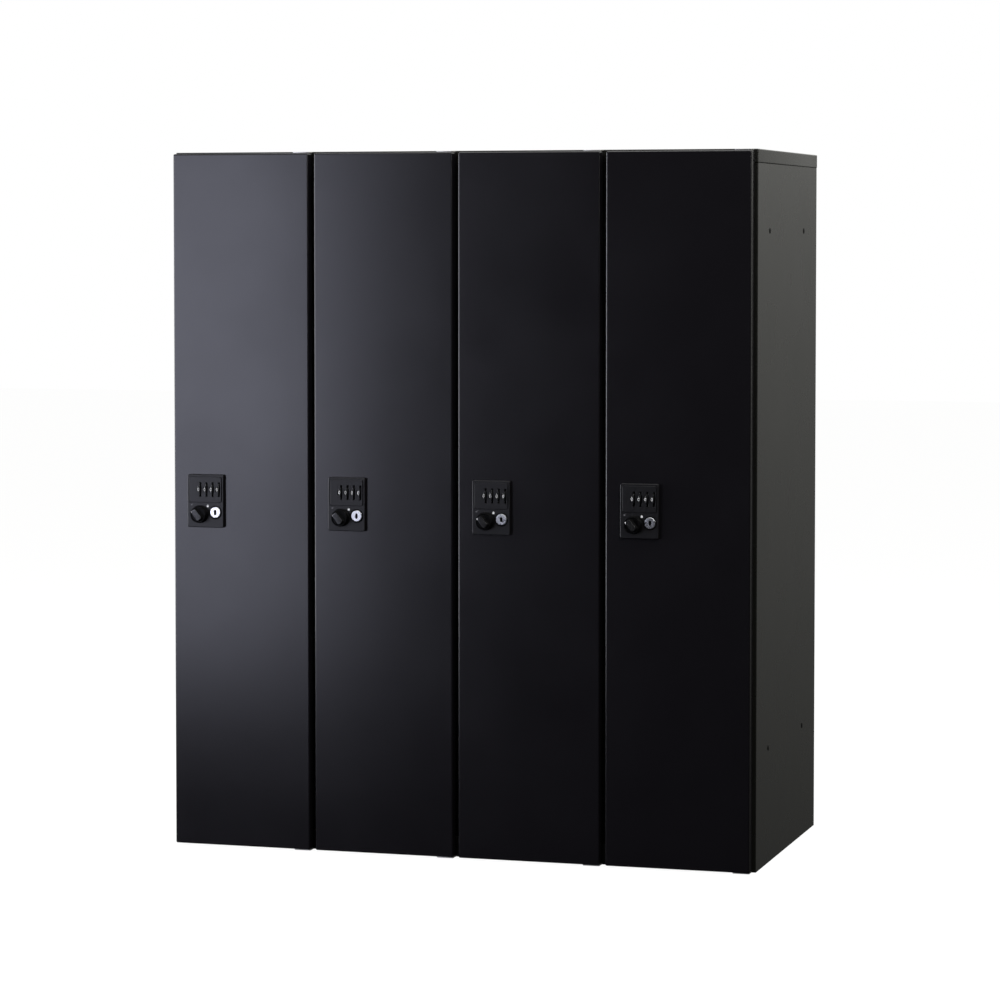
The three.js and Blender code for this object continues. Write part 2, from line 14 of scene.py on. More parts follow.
import bmesh
import bpy
import numpy as np
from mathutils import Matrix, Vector


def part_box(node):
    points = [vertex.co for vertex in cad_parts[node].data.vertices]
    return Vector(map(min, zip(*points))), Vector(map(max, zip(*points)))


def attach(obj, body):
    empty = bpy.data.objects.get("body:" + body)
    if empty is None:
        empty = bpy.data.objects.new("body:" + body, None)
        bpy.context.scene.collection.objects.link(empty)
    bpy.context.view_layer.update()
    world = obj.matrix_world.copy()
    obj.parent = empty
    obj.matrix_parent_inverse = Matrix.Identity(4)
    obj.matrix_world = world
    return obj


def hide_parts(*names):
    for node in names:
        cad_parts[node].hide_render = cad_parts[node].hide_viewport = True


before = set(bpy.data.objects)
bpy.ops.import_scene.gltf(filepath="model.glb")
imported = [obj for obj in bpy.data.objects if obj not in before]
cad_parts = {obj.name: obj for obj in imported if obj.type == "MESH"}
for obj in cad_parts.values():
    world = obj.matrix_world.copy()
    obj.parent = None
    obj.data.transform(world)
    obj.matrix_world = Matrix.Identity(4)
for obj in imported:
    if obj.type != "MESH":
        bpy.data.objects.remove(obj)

LOG = logging.getLogger("lockers")
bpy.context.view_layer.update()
MM = 0.001
SHEET = 0.8 * MM
Array = np.ndarray


# ---------------------------------------------------------------- shapes


@dataclass
class Surface:
    """Points in space and the faces between them.

    Attributes:
        points: One row of x, y, z for each point.
        faces: Arrays of point numbers, one row for each face.
    """

    points: Array
    faces: list[Array]

    @classmethod
    def grid(cls, points: Array, wrap: bool = False, keep: Array | None = None) -> "Surface":
        """Quads between neighbours of a grid of points.

        Args:
            points: Rows by columns by x, y, z.
            wrap: Whether the last column meets the first.
            keep: True for each quad that is kept, rows by columns; all of them if left out.

        Returns:
            The sheet of quads.
        """
        rows, columns = points.shape[:2]
        row = np.arange(rows - 1)[:, None] * columns
        left = np.arange(columns if wrap else columns - 1)[None, :]
        right = (left + 1) % columns
        quads = np.stack([row + left, row + right, row + columns + right, row + columns + left], -1)
        return cls(points.reshape(-1, 3), [quads.reshape(-1, 4) if keep is None else quads[keep]])

    @classmethod
    def polygon(cls, ring: Array) -> "Surface":
        """One flat face inside a ring of points."""
        return cls(ring, [np.arange(len(ring))[None, :]])

    def __add__(self, other: "Surface") -> "Surface":
        """Both surfaces as one."""
        shifted = [face + len(self.points) for face in other.faces]
        return Surface(np.concatenate([self.points, other.points]), [*self.faces, *shifted])

    def moved(self, x: float = 0.0, y: float = 0.0, z: float = 0.0) -> "Surface":
        """The surface shifted by x, y and z."""
        return Surface(self.points + np.array([x, y, z]), self.faces)

    def turned(self, matrix: Array) -> "Surface":
        """The surface with each point multiplied by a 3 by 3 matrix."""
        return Surface(self.points @ np.asarray(matrix, float).T, self.faces)


def joined(surfaces: Iterable[Surface]) -> Surface:
    """Several surfaces as one.

    Args:
        surfaces: The surfaces, at least one.

    Returns:
        One surface with every point and face.
    """
    first, *rest = surfaces
    for other in rest:
        first = first + other
    return first


def rotation(axis: int, angle: float) -> Array:
    """A 3 by 3 matrix that turns by an angle about one axis, by the right-hand rule.

    Args:
        axis: 0, 1 or 2 for X, Y or Z.
        angle: Radians.

    Returns:
        The matrix: cosines and sines of the angle in the two other axes.
    """
    after, last = (axis + 1) % 3, (axis + 2) % 3
    made = np.eye(3)
    made[after, after] = made[last, last] = math.cos(angle)
    made[last, after] = math.sin(angle)
    made[after, last] = -math.sin(angle)
    return made


# Each maps a surface drawn across, up and deep into the frame's axes.
FACING_FRONT = np.array([[1, 0, 0], [0, 0, 1], [0, 1, 0]], float)
FACING_UP = np.eye(3)


def rounded_path(
    points: Sequence[Sequence[float]],
    radius: float,
    steps: int = 6,
    rest: float = 0.5 * MM,
) -> Array:
    """A path of straight runs whose corners are arcs of one radius.

    Each arc goes from tangent point to tangent point: its centre plus the two end spokes, each weighted
    by the sine of the angle left to the other. One more point just outside each end of an arc keeps the
    shading of the flat beside it even.

    Args:
        points: The corners, first to last.
        radius: Of each arc.
        steps: Pieces in an arc.
        rest: How far the extra point stands from the arc.

    Returns:
        The points of the path.
    """
    corners = np.asarray(points, float)
    share = np.linspace(0, 1, steps + 1)[:, None]
    path = [corners[:1]]
    for before, corner, after in zip(corners, corners[1:], corners[2:]):
        back = (before - corner) / np.linalg.norm(before - corner)
        on = (after - corner) / np.linalg.norm(after - corner)
        half = np.arccos(np.clip(back @ on, -1, 1)) / 2
        run = radius / np.tan(half)
        centre = corner + (back + on) / np.linalg.norm(back + on) * radius / np.sin(half)
        first, last = corner + back * run, corner + on * run
        sweep = np.pi - 2 * half
        spokes = np.sin((1 - share) * sweep) * (first - centre) + np.sin(share * sweep) * (last - centre)
        path += [(first + back * rest)[None], centre + spokes / np.sin(sweep), (last + on * rest)[None]]
    return np.concatenate([*path, corners[-1:]])


def loft(
    rows: Sequence[Sequence[float]],
    steps: int = 6,
    close: tuple[bool, bool] = (False, False),
) -> Surface:
    """A skin over a stack of round-cornered rectangles.

    Each ring runs through its four corner arcs in turn: the corner's centre plus the radius times the
    cosine and sine of the angle. A radius as long as both half sizes makes the ring a circle.

    Args:
        rows: One ring in each row: middle across and up, half size across and up, corner radius, depth.
        steps: Points in a corner's arc.
        close: Whether the first and the last ring are filled with a flat face.

    Returns:
        The skin, drawn across, up and deep.
    """
    across, up, half_across, half_up, radius, depth = np.array(rows, float).T[:, :, None]
    turn = np.concatenate([np.linspace(0, np.pi / 2, steps) + quarter * np.pi / 2 for quarter in range(4)])
    right = np.repeat([1, -1, -1, 1], steps)
    high = np.repeat([1, 1, -1, -1], steps)
    u = across + right * (half_across - radius) + radius * np.cos(turn)
    v = up + high * (half_up - radius) + radius * np.sin(turn)
    rings = np.stack([u, v, np.broadcast_to(depth, u.shape)], -1)
    made = Surface.grid(rings, wrap=True)
    for ring, wanted in zip((rings[0], rings[-1]), close):
        made = made + Surface.polygon(ring) if wanted else made
    return made


def lathe(profile: Sequence[Sequence[float]], steps: int = 48) -> Surface:
    """A closed turned shape: radius times cosine and sine across and up, the second value deep.

    Args:
        profile: Radius and depth of each ring, from one end to the other, none of radius 0.
        steps: Points round each ring.

    Returns:
        The shape, drawn across, up and deep, with its two ends filled.
    """
    radius, depth = np.array(profile, float).T[:, :, None]
    turn = np.linspace(0, 2 * np.pi, steps, endpoint=False)
    deep = np.broadcast_to(depth, (len(radius), steps))
    rings = np.stack([radius * np.cos(turn), radius * np.sin(turn), deep], -1)
    return Surface.grid(rings, wrap=True) + Surface.polygon(rings[0]) + Surface.polygon(rings[-1])


def tube(path: Array, radius: float, steps: int = 16) -> Surface:
    """A round bar along a path.

    At each point of the path the ring is the point plus the radius times the cosine and sine of the
    angle along two directions square to the path: one square to the path and to a fixed side, and one
    square to both.

    Args:
        path: Points of the middle line, in one plane.
        radius: Of the bar.
        steps: Points round it.

    Returns:
        The bar, with its ends filled.
    """
    along = np.gradient(path, axis=0)
    along /= np.linalg.norm(along, axis=1, keepdims=True)
    spread = path - path.mean(0)
    side = np.linalg.svd(spread)[2][-1]
    other = np.cross(along, side)
    turn = np.linspace(0, 2 * np.pi, steps, endpoint=False)[None, :, None]
    rings = path[:, None] + radius * (np.cos(turn) * side + np.sin(turn) * other[:, None])
    return Surface.grid(rings, wrap=True) + Surface.polygon(rings[0]) + Surface.polygon(rings[-1])


def slab(low: Sequence[float], high: Sequence[float]) -> Surface:
    """A flat sheet or bar between two corners, as a loft of two sharp rings.

    Args:
        low: Its lowest corner.
        high: Its highest corner.

    Returns:
        The closed bar in the frame's axes.
    """
    low_corner, high_corner = np.asarray(low, float), np.asarray(high, float)
    middle, half = (low_corner + high_corner) / 2, (high_corner - low_corner) / 2
    ring = [middle[0], middle[1], half[0], half[1], 0.1 * min(half[0], half[1])]
    return loft([[*ring, low_corner[2]], [*ring, high_corner[2]]], steps=2, close=(True, True))


def glyph(text: str, height: float) -> Surface:
    """A character of the built-in face as a flat mesh, centred on its own middle.

    Args:
        text: The character.
        height: Of the character, in metres.

    Returns:
        Its faces, drawn across and up, at depth 0.
    """
    curve = bpy.data.curves.new("glyph", "FONT")
    curve.body = text
    curve.resolution_u = 3
    holder = bpy.data.objects.new("glyph", curve)
    bpy.context.scene.collection.objects.link(holder)
    mesh = bpy.data.meshes.new_from_object(holder.evaluated_get(bpy.context.evaluated_depsgraph_get()))
    points = np.empty(len(mesh.vertices) * 3)
    mesh.vertices.foreach_get("co", points)
    points = points.reshape(-1, 3)
    faces = [np.array([list(face.vertices)]) for face in mesh.polygons]
    bpy.data.objects.remove(holder)
    bpy.data.curves.remove(curve)
    bpy.data.meshes.remove(mesh)
    low, high = points.min(0), points.max(0)
    return Surface((points - (low + high) / 2) * height / (high - low)[1], faces)


# ---------------------------------------------------------------- shader graphs


class Graph:
    """Nodes of a material, a world or a node group, added and linked by short calls."""

    def __init__(self, tree: bpy.types.NodeTree) -> None:
        """Keeps the tree that nodes go into.

        Args:
            tree: An empty node tree.
        """
        self.tree = tree

    def add(self, kind: str, **values: object) -> bpy.types.Node:
        """Adds a node.

        Args:
            kind: The node's type without its ShaderNode prefix, or a group's own node type in full.
            **values: Properties of the node, or values and links of its inputs by name, with
                underscores for spaces.

        Returns:
            The node.
        """
        node = self.tree.nodes.new(kind if kind.startswith("NodeGroup") else f"ShaderNode{kind}")
        for key, value in values.items():
            if hasattr(node, key):
                setattr(node, key, value)
            else:
                self.feed(node.inputs[key.replace("_", " ")], value)
        return node

    def feed(self, socket: bpy.types.NodeSocket, value: object) -> None:
        """Links an output to a socket, or sets the socket's own value."""
        if isinstance(value, bpy.types.NodeSocket):
            self.tree.links.new(value, socket)
        else:
            socket.default_value = value

    def math(self, operation: str, first: object, second: object = 0.0) -> bpy.types.NodeSocket:
        """The output of a Math node."""
        node = self.add("Math", operation=operation)
        self.feed(node.inputs[0], first)
        self.feed(node.inputs[1], second)
        return node.outputs[0]

    def noise(
        self,
        vector: object,
        scale: object,
        detail: float = 2.0,
        roughness: float = 0.5,
    ) -> bpy.types.NodeSocket:
        """The Fac output of a Noise Texture node."""
        node = self.add("TexNoise", Vector=vector, Scale=scale, Detail=detail, Roughness=roughness)
        return node.outputs["Fac"]

    def span(
        self,
        value: object,
        low: float,
        high: float,
        to_low: object,
        to_high: object,
    ) -> bpy.types.NodeSocket:
        """A value carried from one range to another and held at its ends, by a Map Range node."""
        node = self.add("MapRange", From_Min=low, From_Max=high, To_Min=to_low, To_Max=to_high)
        self.feed(node.inputs["Value"], value)
        return node.outputs["Result"]

    def mix(self, share: object, first: object, second: object) -> bpy.types.NodeSocket:
        """A colour between two others, by a Mix node."""
        node = self.add("Mix", data_type="RGBA")
        sockets = (node.inputs["Factor"], node.inputs[6], node.inputs[7])
        for socket, value in zip(sockets, (share, first, second)):
            self.feed(socket, value)
        return node.outputs[2]


class SocketKind(Enum):
    """The kinds of socket that the node groups have."""

    NUMBER = "NodeSocketFloat"
    VECTOR = "NodeSocketVector"
    COLOUR = "NodeSocketColor"


@dataclass(frozen=True)
class Effect:
    """A shader node group that several finishes share.

    Attributes:
        name: The group's name.
        inputs: Name and kind of each input.
        outputs: Name and kind of each output.
    """

    name: str
    inputs: tuple[tuple[str, SocketKind], ...]
    outputs: tuple[tuple[str, SocketKind], ...]

    @property
    def group(self) -> bpy.types.NodeTree:
        """The node group, built the first time that it is asked for."""
        found = bpy.data.node_groups.get(self.name)
        if found:
            return found
        made = bpy.data.node_groups.new(self.name, "ShaderNodeTree")
        for sockets, way in ((self.inputs, "INPUT"), (self.outputs, "OUTPUT")):
            for name, kind in sockets:
                made.interface.new_socket(name, in_out=way, socket_type=kind.value)
        graph = Graph(made)
        given = graph.add("NodeGroupInput").outputs
        result = graph.add("NodeGroupOutput").inputs
        for name, value in self.build(graph, given).items():
            graph.feed(result[name], value)
        return made

    def build(self, graph: Graph, given: bpy.types.bpy_prop_collection) -> dict[str, bpy.types.NodeSocket]:
        """Adds the group's nodes.

        Args:
            graph: The group's tree.
            given: The group's inputs.

        Returns:
            What each output is fed with.
        """
        raise NotImplementedError

    def place(self, graph: Graph, **values: object) -> bpy.types.bpy_prop_collection:
        """Puts the group into a material.

        Args:
            graph: The material's tree.
            **values: The group's inputs, with underscores for spaces.

        Returns:
            The group node's outputs.
        """
        node = graph.add("Group", node_tree=self.group)
        for name, value in values.items():
            graph.feed(node.inputs[name.replace("_", " ")], value)
        return node.outputs


@dataclass(frozen=True)
class OrangePeel(Effect):
    """The skin of baked powder paint: low lumps, a finer ripple on them, and a slow drift in gloss."""

    name: str = "orange_peel"
    inputs: tuple = (
        ("Place", SocketKind.VECTOR),
        ("Lump Size", SocketKind.NUMBER),
        ("Ripple", SocketKind.NUMBER),
    )
    outputs: tuple = (
        ("Height", SocketKind.NUMBER),
        ("Drift", SocketKind.NUMBER),
        ("Speck", SocketKind.NUMBER),
    )

    def build(self, graph: Graph, given: bpy.types.bpy_prop_collection) -> dict[str, bpy.types.NodeSocket]:
        """Height is lump noise plus a share of ripple noise; drift is noise a hand's width across."""
        often = graph.math("DIVIDE", 1.0, given["Lump Size"])
        lumps = graph.noise(given["Place"], often, 1.0)
        ripple = graph.noise(given["Place"], graph.math("MULTIPLY", often, 3.1), 2.0)
        height = graph.math("ADD", lumps, graph.math("MULTIPLY", ripple, given["Ripple"]))
        drift = graph.noise(given["Place"], 7.0, 3.0, 0.55)
        speck = graph.span(graph.noise(given["Place"], 1900.0, 0.0), 0.72, 0.8, 0.0, 1.0)
        return {"Height": height, "Drift": drift, "Speck": speck}


@dataclass(frozen=True)
class SettledDust(Effect):
    """Fine dust on what faces up: thicker in soft patches, none on walls."""

    name: str = "settled_dust"
    inputs: tuple = (
        ("Place", SocketKind.VECTOR),
        ("Facing", SocketKind.VECTOR),
        ("Amount", SocketKind.NUMBER),
    )
    outputs: tuple = (("Mask", SocketKind.NUMBER),)

    def build(self, graph: Graph, given: bpy.types.bpy_prop_collection) -> dict[str, bpy.types.NodeSocket]:
        """The mask is how far the surface faces up, times patchy noise, times the amount."""
        up = graph.add("SeparateXYZ", Vector=given["Facing"]).outputs["Z"]
        facing = graph.span(up, 0.6, 1.0, 0.0, 1.0)
        patches = graph.span(graph.noise(given["Place"], 12.0, 5.0, 0.6), 0.35, 0.7, 0.3, 1.0)
        return {"Mask": graph.math("MULTIPLY", graph.math("MULTIPLY", facing, patches), given["Amount"])}


@dataclass(frozen=True)
class FineGrain(Effect):
    """The matt grain of a spark-eroded mould, or the lines left by polishing when it is stretched."""

    name: str = "fine_grain"
    inputs: tuple = (
        ("Place", SocketKind.VECTOR),
        ("Stretch", SocketKind.VECTOR),
        ("Grain Size", SocketKind.NUMBER),
    )
    outputs: tuple = (("Height", SocketKind.NUMBER), ("Shade", SocketKind.NUMBER))

    def build(self, graph: Graph, given: bpy.types.bpy_prop_collection) -> dict[str, bpy.types.NodeSocket]:
        """Height is noise on the stretched place; shade is a slower noise for colour and gloss."""
        stretched = graph.add("VectorMath", operation="MULTIPLY")
        graph.feed(stretched.inputs[0], given["Place"])
        graph.feed(stretched.inputs[1], given["Stretch"])
        often = graph.math("DIVIDE", 1.0, given["Grain Size"])
        height = graph.noise(stretched.outputs[0], often, 2.0, 0.6)
        shade = graph.noise(stretched.outputs[0], graph.math("MULTIPLY", often, 0.08), 4.0, 0.6)
        return {"Height": height, "Shade": shade}


ORANGE_PEEL, SETTLED_DUST, FINE_GRAIN = OrangePeel(), SettledDust(), FineGrain()


# ---------------------------------------------------------------- finishes


@dataclass(frozen=True)
class Finish:
    """What every finish has.

    Attributes:
        name: The material's name.
        colour: Red, green and blue, linear.
        roughness: Of the clean surface.
        slot: The record's material slot that the finish stands for.
    """

    name: str
    colour: tuple[float, float, float]
    roughness: float
    slot: str

    @property
    def material(self) -> bpy.types.Material:
        """The material, built the first time that it is asked for."""
        found = bpy.data.materials.get(self.name)
        if found:
            return found
        made = bpy.data.materials.new(self.name)
        made.use_nodes = True
        made.node_tree.nodes.clear()
        graph = Graph(made.node_tree)
        place = graph.add("TexCoord").outputs["Object"]
        shader = graph.add("BsdfPrincipled")
        output = graph.add("OutputMaterial")
        graph.feed(output.inputs["Surface"], shader.outputs["BSDF"])
        self.dress(graph, shader, place)
        return made

    @property
    def rgba(self) -> tuple[float, float, float, float]:
        """The colour with full alpha."""
        return (*self.colour, 1.0)

    def dress(self, graph: Graph, shader: bpy.types.Node, place: bpy.types.NodeSocket) -> None:
        """Sets the shader's values and adds what feeds it.

        Args:
            graph: The material's tree.
            shader: Its Principled BSDF.
            place: Object coordinates.
        """
        raise NotImplementedError


def bump(graph: Graph, height: object, strength: float, distance: float) -> bpy.types.NodeSocket:
    """The normal from a height.

    Args:
        graph: The material's tree.
        height: The height's socket.
        strength: Share of the bump that shows.
        distance: Depth of the bump in metres.

    Returns:
        A Bump node's output.
    """
    return graph.add("Bump", Height=height, Strength=strength, Distance=distance).outputs["Normal"]


@dataclass(frozen=True)
class PowderCoat(Finish):
    """Baked satin paint on sheet steel.

    Attributes:
        lump: Size of the orange peel's lumps.
        relief: Depth of the orange peel.
        drift: How far the roughness wanders to each side.
        dust: How much dust lies on what faces up.
    """

    slot: str = "body_paint"
    lump: float = 1.3 * MM
    relief: float = 0.010 * MM
    drift: float = 0.02
    dust: float = 0.05

    def dress(self, graph: Graph, shader: bpy.types.Node, place: bpy.types.NodeSocket) -> None:
        """Peel feeds the bump, drift the roughness, and specks and dust the colour."""
        peel = ORANGE_PEEL.place(graph, Place=place, Lump_Size=self.lump, Ripple=0.25)
        facing = graph.add("NewGeometry").outputs["True Normal"]
        dust = SETTLED_DUST.place(graph, Place=place, Facing=facing, Amount=self.dust)["Mask"]
        lighter = tuple(channel * 1.8 + 0.002 for channel in self.colour)
        flecked = graph.mix(graph.math("MULTIPLY", peel["Speck"], 0.12), self.rgba, (*lighter, 1.0))
        graph.feed(shader.inputs["Base Color"], graph.mix(dust, flecked, (0.16, 0.15, 0.135, 1.0)))
        clean = graph.span(peel["Drift"], 0.3, 0.7, self.roughness - self.drift, self.roughness + self.drift)
        graph.feed(shader.inputs["Roughness"], graph.math("ADD", clean, graph.math("MULTIPLY", dust, 1.6)))
        graph.feed(shader.inputs["Normal"], bump(graph, peel["Height"], 0.6, self.relief))
        shader.inputs["Specular IOR Level"].default_value = 0.5


@dataclass(frozen=True)
class Moulding(Finish):
    """Injection-moulded plastic.

    Attributes:
        grain: Size of the mould's grain.
        relief: Depth of the grain.
        gloss: Level of the mirror-like part, 0.5 being common plastic.
    """

    slot: str = "lock_plastic"
    grain: float = 0.35 * MM
    relief: float = 0.008 * MM
    gloss: float = 0.5

    def dress(self, graph: Graph, shader: bpy.types.Node, place: bpy.types.NodeSocket) -> None:
        """Grain feeds the bump, and a slow shade the colour and the roughness."""
        grain = FINE_GRAIN.place(graph, Place=place, Stretch=(1, 1, 1), Grain_Size=self.grain)
        lighter = tuple(channel * 1.35 + 0.001 for channel in self.colour)
        graph.feed(shader.inputs["Base Color"], graph.mix(grain["Shade"], self.rgba, (*lighter, 1.0)))
        rough = graph.span(grain["Shade"], 0.3, 0.7, self.roughness - 0.04, self.roughness + 0.04)
        graph.feed(shader.inputs["Roughness"], rough)
        graph.feed(shader.inputs["Normal"], bump(graph, grain["Height"], 0.5, self.relief))
        shader.inputs["Specular IOR Level"].default_value = self.gloss


@dataclass(frozen=True)
class Plating(Finish):
    """Plated metal with polishing lines.

    Attributes:
        stretch: Multipliers of place along X, Y and Z; a small one draws the lines out along that axis.
        grain: Distance between lines.
        relief: Depth of the lines.
    """

    slot: str = "zinc_steel"
    stretch: tuple[float, float, float] = (1.0, 1.0, 1.0)
    grain: float = 0.4 * MM
    relief: float = 0.004 * MM

    def dress(self, graph: Graph, shader: bpy.types.Node, place: bpy.types.NodeSocket) -> None:
        """Lines feed the bump, and a slow shade the colour and the roughness."""
        shader.inputs["Metallic"].default_value = 1.0
        grain = FINE_GRAIN.place(graph, Place=place, Stretch=self.stretch, Grain_Size=self.grain)
        duller = tuple(channel * 0.82 for channel in self.colour)
        graph.feed(shader.inputs["Base Color"], graph.mix(grain["Shade"], self.rgba, (*duller, 1.0)))
        rough = graph.span(grain["Shade"], 0.3, 0.7, self.roughness * 0.8, self.roughness * 1.3)
        graph.feed(shader.inputs["Roughness"], rough)
        graph.feed(shader.inputs["Normal"], bump(graph, grain["Height"], 0.5, self.relief))


@dataclass(frozen=True)
class Ink(Moulding):
    """Printed or filled marking, a thin matt layer with a slightly uneven edge-to-edge tone."""

    slot: str = "dial_plastic"
    grain: float = 0.2 * MM
    relief: float = 0.004 * MM


DOOR_PAINT = PowderCoat(
    "satin_black_door", (0.0056, 0.005, 0.0062), 0.21, slot="door_paint", relief=0.006 * MM
)
BODY_PAINT = PowderCoat("satin_black_body", (0.0082, 0.0084, 0.0068), 0.27, relief=0.004 * MM)
# The body's own black paint, made lighter and duller for the compartments' insides: painted light,
# brightening the inside that the lamps barely reach.
INSIDE_PAINT_WITH_PAINTED_LIGHT = PowderCoat("satin_black_inside_painted_light", (0.022, 0.0215, 0.02), 0.4, relief=0.004 * MM)
LOCK_BODY = Moulding("grained_black_plastic", (0.0036, 0.0034, 0.0038), 0.36, gloss=0.34)
LOCK_GLOSS = Moulding(
    "smooth_black_plastic",
    (0.0045, 0.0045, 0.0047),
    0.24,
    slot="knob_plastic",
    relief=0.003 * MM,
    gloss=0.6,
)
KNOB_BLACK = Moulding("knob_black_plastic", (0.001, 0.001, 0.0011), 0.34, slot="knob_plastic", gloss=0.1)
# Near black with almost no gloss, darker and duller than the lock's grained plastic. On the side panels' hole
# plugs it is their own black. On the ring round the key plug it is partly painted shade of the gap round the
# plug, and in the keyway it is painted shade.
HOLE_PLUG_BLACK_AND_PAINTED_SHADE = Moulding("hole_plug_black_and_painted_shade_plastic", (0.0008, 0.0008, 0.0009), 0.5, gloss=0.06)
DEEP_BLACK = Moulding("deep_black_plastic", (0.0012, 0.0012, 0.0013), 0.42, slot="dial_plastic", gloss=0.12)
CAP_PLASTIC = Moulding("soft_black_plastic", (0.004, 0.004, 0.004), 0.55)
WHITE_INK = Ink("white_marking", (0.86, 0.86, 0.84), 0.5)
SIGN_INK = Ink("white_sign", (0.86, 0.86, 0.84), 0.5, slot="lock_plastic")
FAINT_INK = Ink("faint_marking", (0.085, 0.085, 0.09), 0.5, slot="lock_plastic")
CHROME = Plating("bright_chrome", (0.78, 0.79, 0.80), 0.27, slot="chrome", relief=0.002 * MM)
ZINC = Plating("dull_zinc", (0.56, 0.55, 0.53), 0.38, stretch=(1.0, 1.0, 0.15))


# ---------------------------------------------------------------- pieces


def place_piece(
    name: str,
    surface: Surface,
    finish: Finish,
    body: str,
    replaces: Sequence[str] = (),
    sheet: float = 0.0,
    crease: float = 40.0,
) -> bpy.types.Object:
    """Puts a surface into the scene as a piece that rides on a body.

    Args:
        name: The piece's name.
        surface: Its shape, in the frame's axes.
        finish: Its finish.
        body: The body that it moves with.
        replaces: The nodes that it stands for.
        sheet: Thickness that the skin is given inwards; none if it is closed already.
        crease: Degrees between two faces past which their shared edge is shown sharp.

    Returns:
        The piece.
    """
    mesh = bpy.data.meshes.new(name)
    mesh.from_pydata(surface.points.tolist(), [], [row for faces in surface.faces for row in faces.tolist()])
    settle_mesh(mesh, crease)
    made = bpy.data.objects.new(name, mesh)
    bpy.context.scene.collection.objects.link(made)
    made.data.materials.append(finish.material)
    if sheet:
        solid = made.modifiers.new("sheet", "SOLIDIFY")
        solid.thickness, solid.offset, solid.use_even_offset = sheet, -1.0, True
    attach(made, body)
    if replaces:
        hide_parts(*replaces)
    LOG.info("%s rides on %s, %d faces", name, body, len(mesh.polygons))
    return made


def settle_mesh(mesh: bpy.types.Mesh, crease: float) -> None:
    """Merges doubles, turns faces outwards and shades the mesh smooth up to a crease.

    A free edge is sharp too, so that a sheet's thickness doesn't bend the shading of its face.

    Args:
        mesh: The mesh, changed in place.
        crease: Degrees past which an edge is sharp.
    """
    shape = bmesh.new()
    shape.from_mesh(mesh)
    bmesh.ops.remove_doubles(shape, verts=shape.verts, dist=0.002 * MM)
    bmesh.ops.recalc_face_normals(shape, faces=shape.faces)
    shape.to_mesh(mesh)
    shape.free()
    mesh.polygons.foreach_set("use_smooth", np.ones(len(mesh.polygons), bool))
    mesh.set_sharp_from_angle(angle=math.radians(crease))
    sharp, corner_edges = np.zeros(len(mesh.edges), bool), np.zeros(len(mesh.loops), np.int32)
    edge_flags = mesh.attributes.get("sharp_edge") or mesh.attributes.new("sharp_edge", "BOOLEAN", "EDGE")
    edge_flags.data.foreach_get("value", sharp)
    mesh.loops.foreach_get("edge_index", corner_edges)
    free = np.bincount(corner_edges, minlength=len(mesh.edges)) == 1
    edge_flags.data.foreach_set("value", sharp | free)
    mesh.update()


def soften_node(node: str, finish: Finish, body: str, width: float = 0.3 * MM) -> bpy.types.Object:
    """A node's own solid with its faces joined up and its edges rounded, standing for the node.

    Args:
        node: The node.
        finish: The piece's finish.
        body: The body that it moves with.
        width: Of the rounded edges.

    Returns:
        The piece.
    """
    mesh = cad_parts[node].data.copy()
    mesh.name = f"soft_{node}"
    mesh.materials.clear()
    shape = bmesh.new()
    shape.from_mesh(mesh)
    bmesh.ops.remove_doubles(shape, verts=shape.verts, dist=0.01 * MM)
    bmesh.ops.dissolve_limit(shape, angle_limit=math.radians(1), verts=shape.verts, edges=shape.edges)
    shape.to_mesh(mesh)
    shape.free()
    mesh.polygons.foreach_set("use_smooth", np.ones(len(mesh.polygons), bool))
    made = bpy.data.objects.new(f"soft_{node}", mesh)
    bpy.context.scene.collection.objects.link(made)
    made.data.materials.append(finish.material)
    edge = made.modifiers.new("edges", "BEVEL")
    edge.width, edge.segments, edge.limit_method, edge.angle_limit = width, 3, "ANGLE", math.radians(30)
    edge.harden_normals = True
    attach(made, body)
    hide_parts(node)
    LOG.info("%s rides on %s, softened", made.name, body)
    return made


@dataclass(frozen=True)
class Bounds:
    """A node's box.

    Attributes:
        low: Its lowest corner.
        high: Its highest corner.
    """

    low: Vector
    high: Vector

    @classmethod
    def of(cls, node: str) -> "Bounds":
        """The box of a node at rest."""
        return cls(*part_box(node))

    @property
    def middle(self) -> Vector:
        """The box's middle."""
        return (self.low + self.high) / 2

    @property
    def size(self) -> Vector:
        """The box's size along each axis."""
        return self.high - self.low


# ---------------------------------------------------------------- the doors


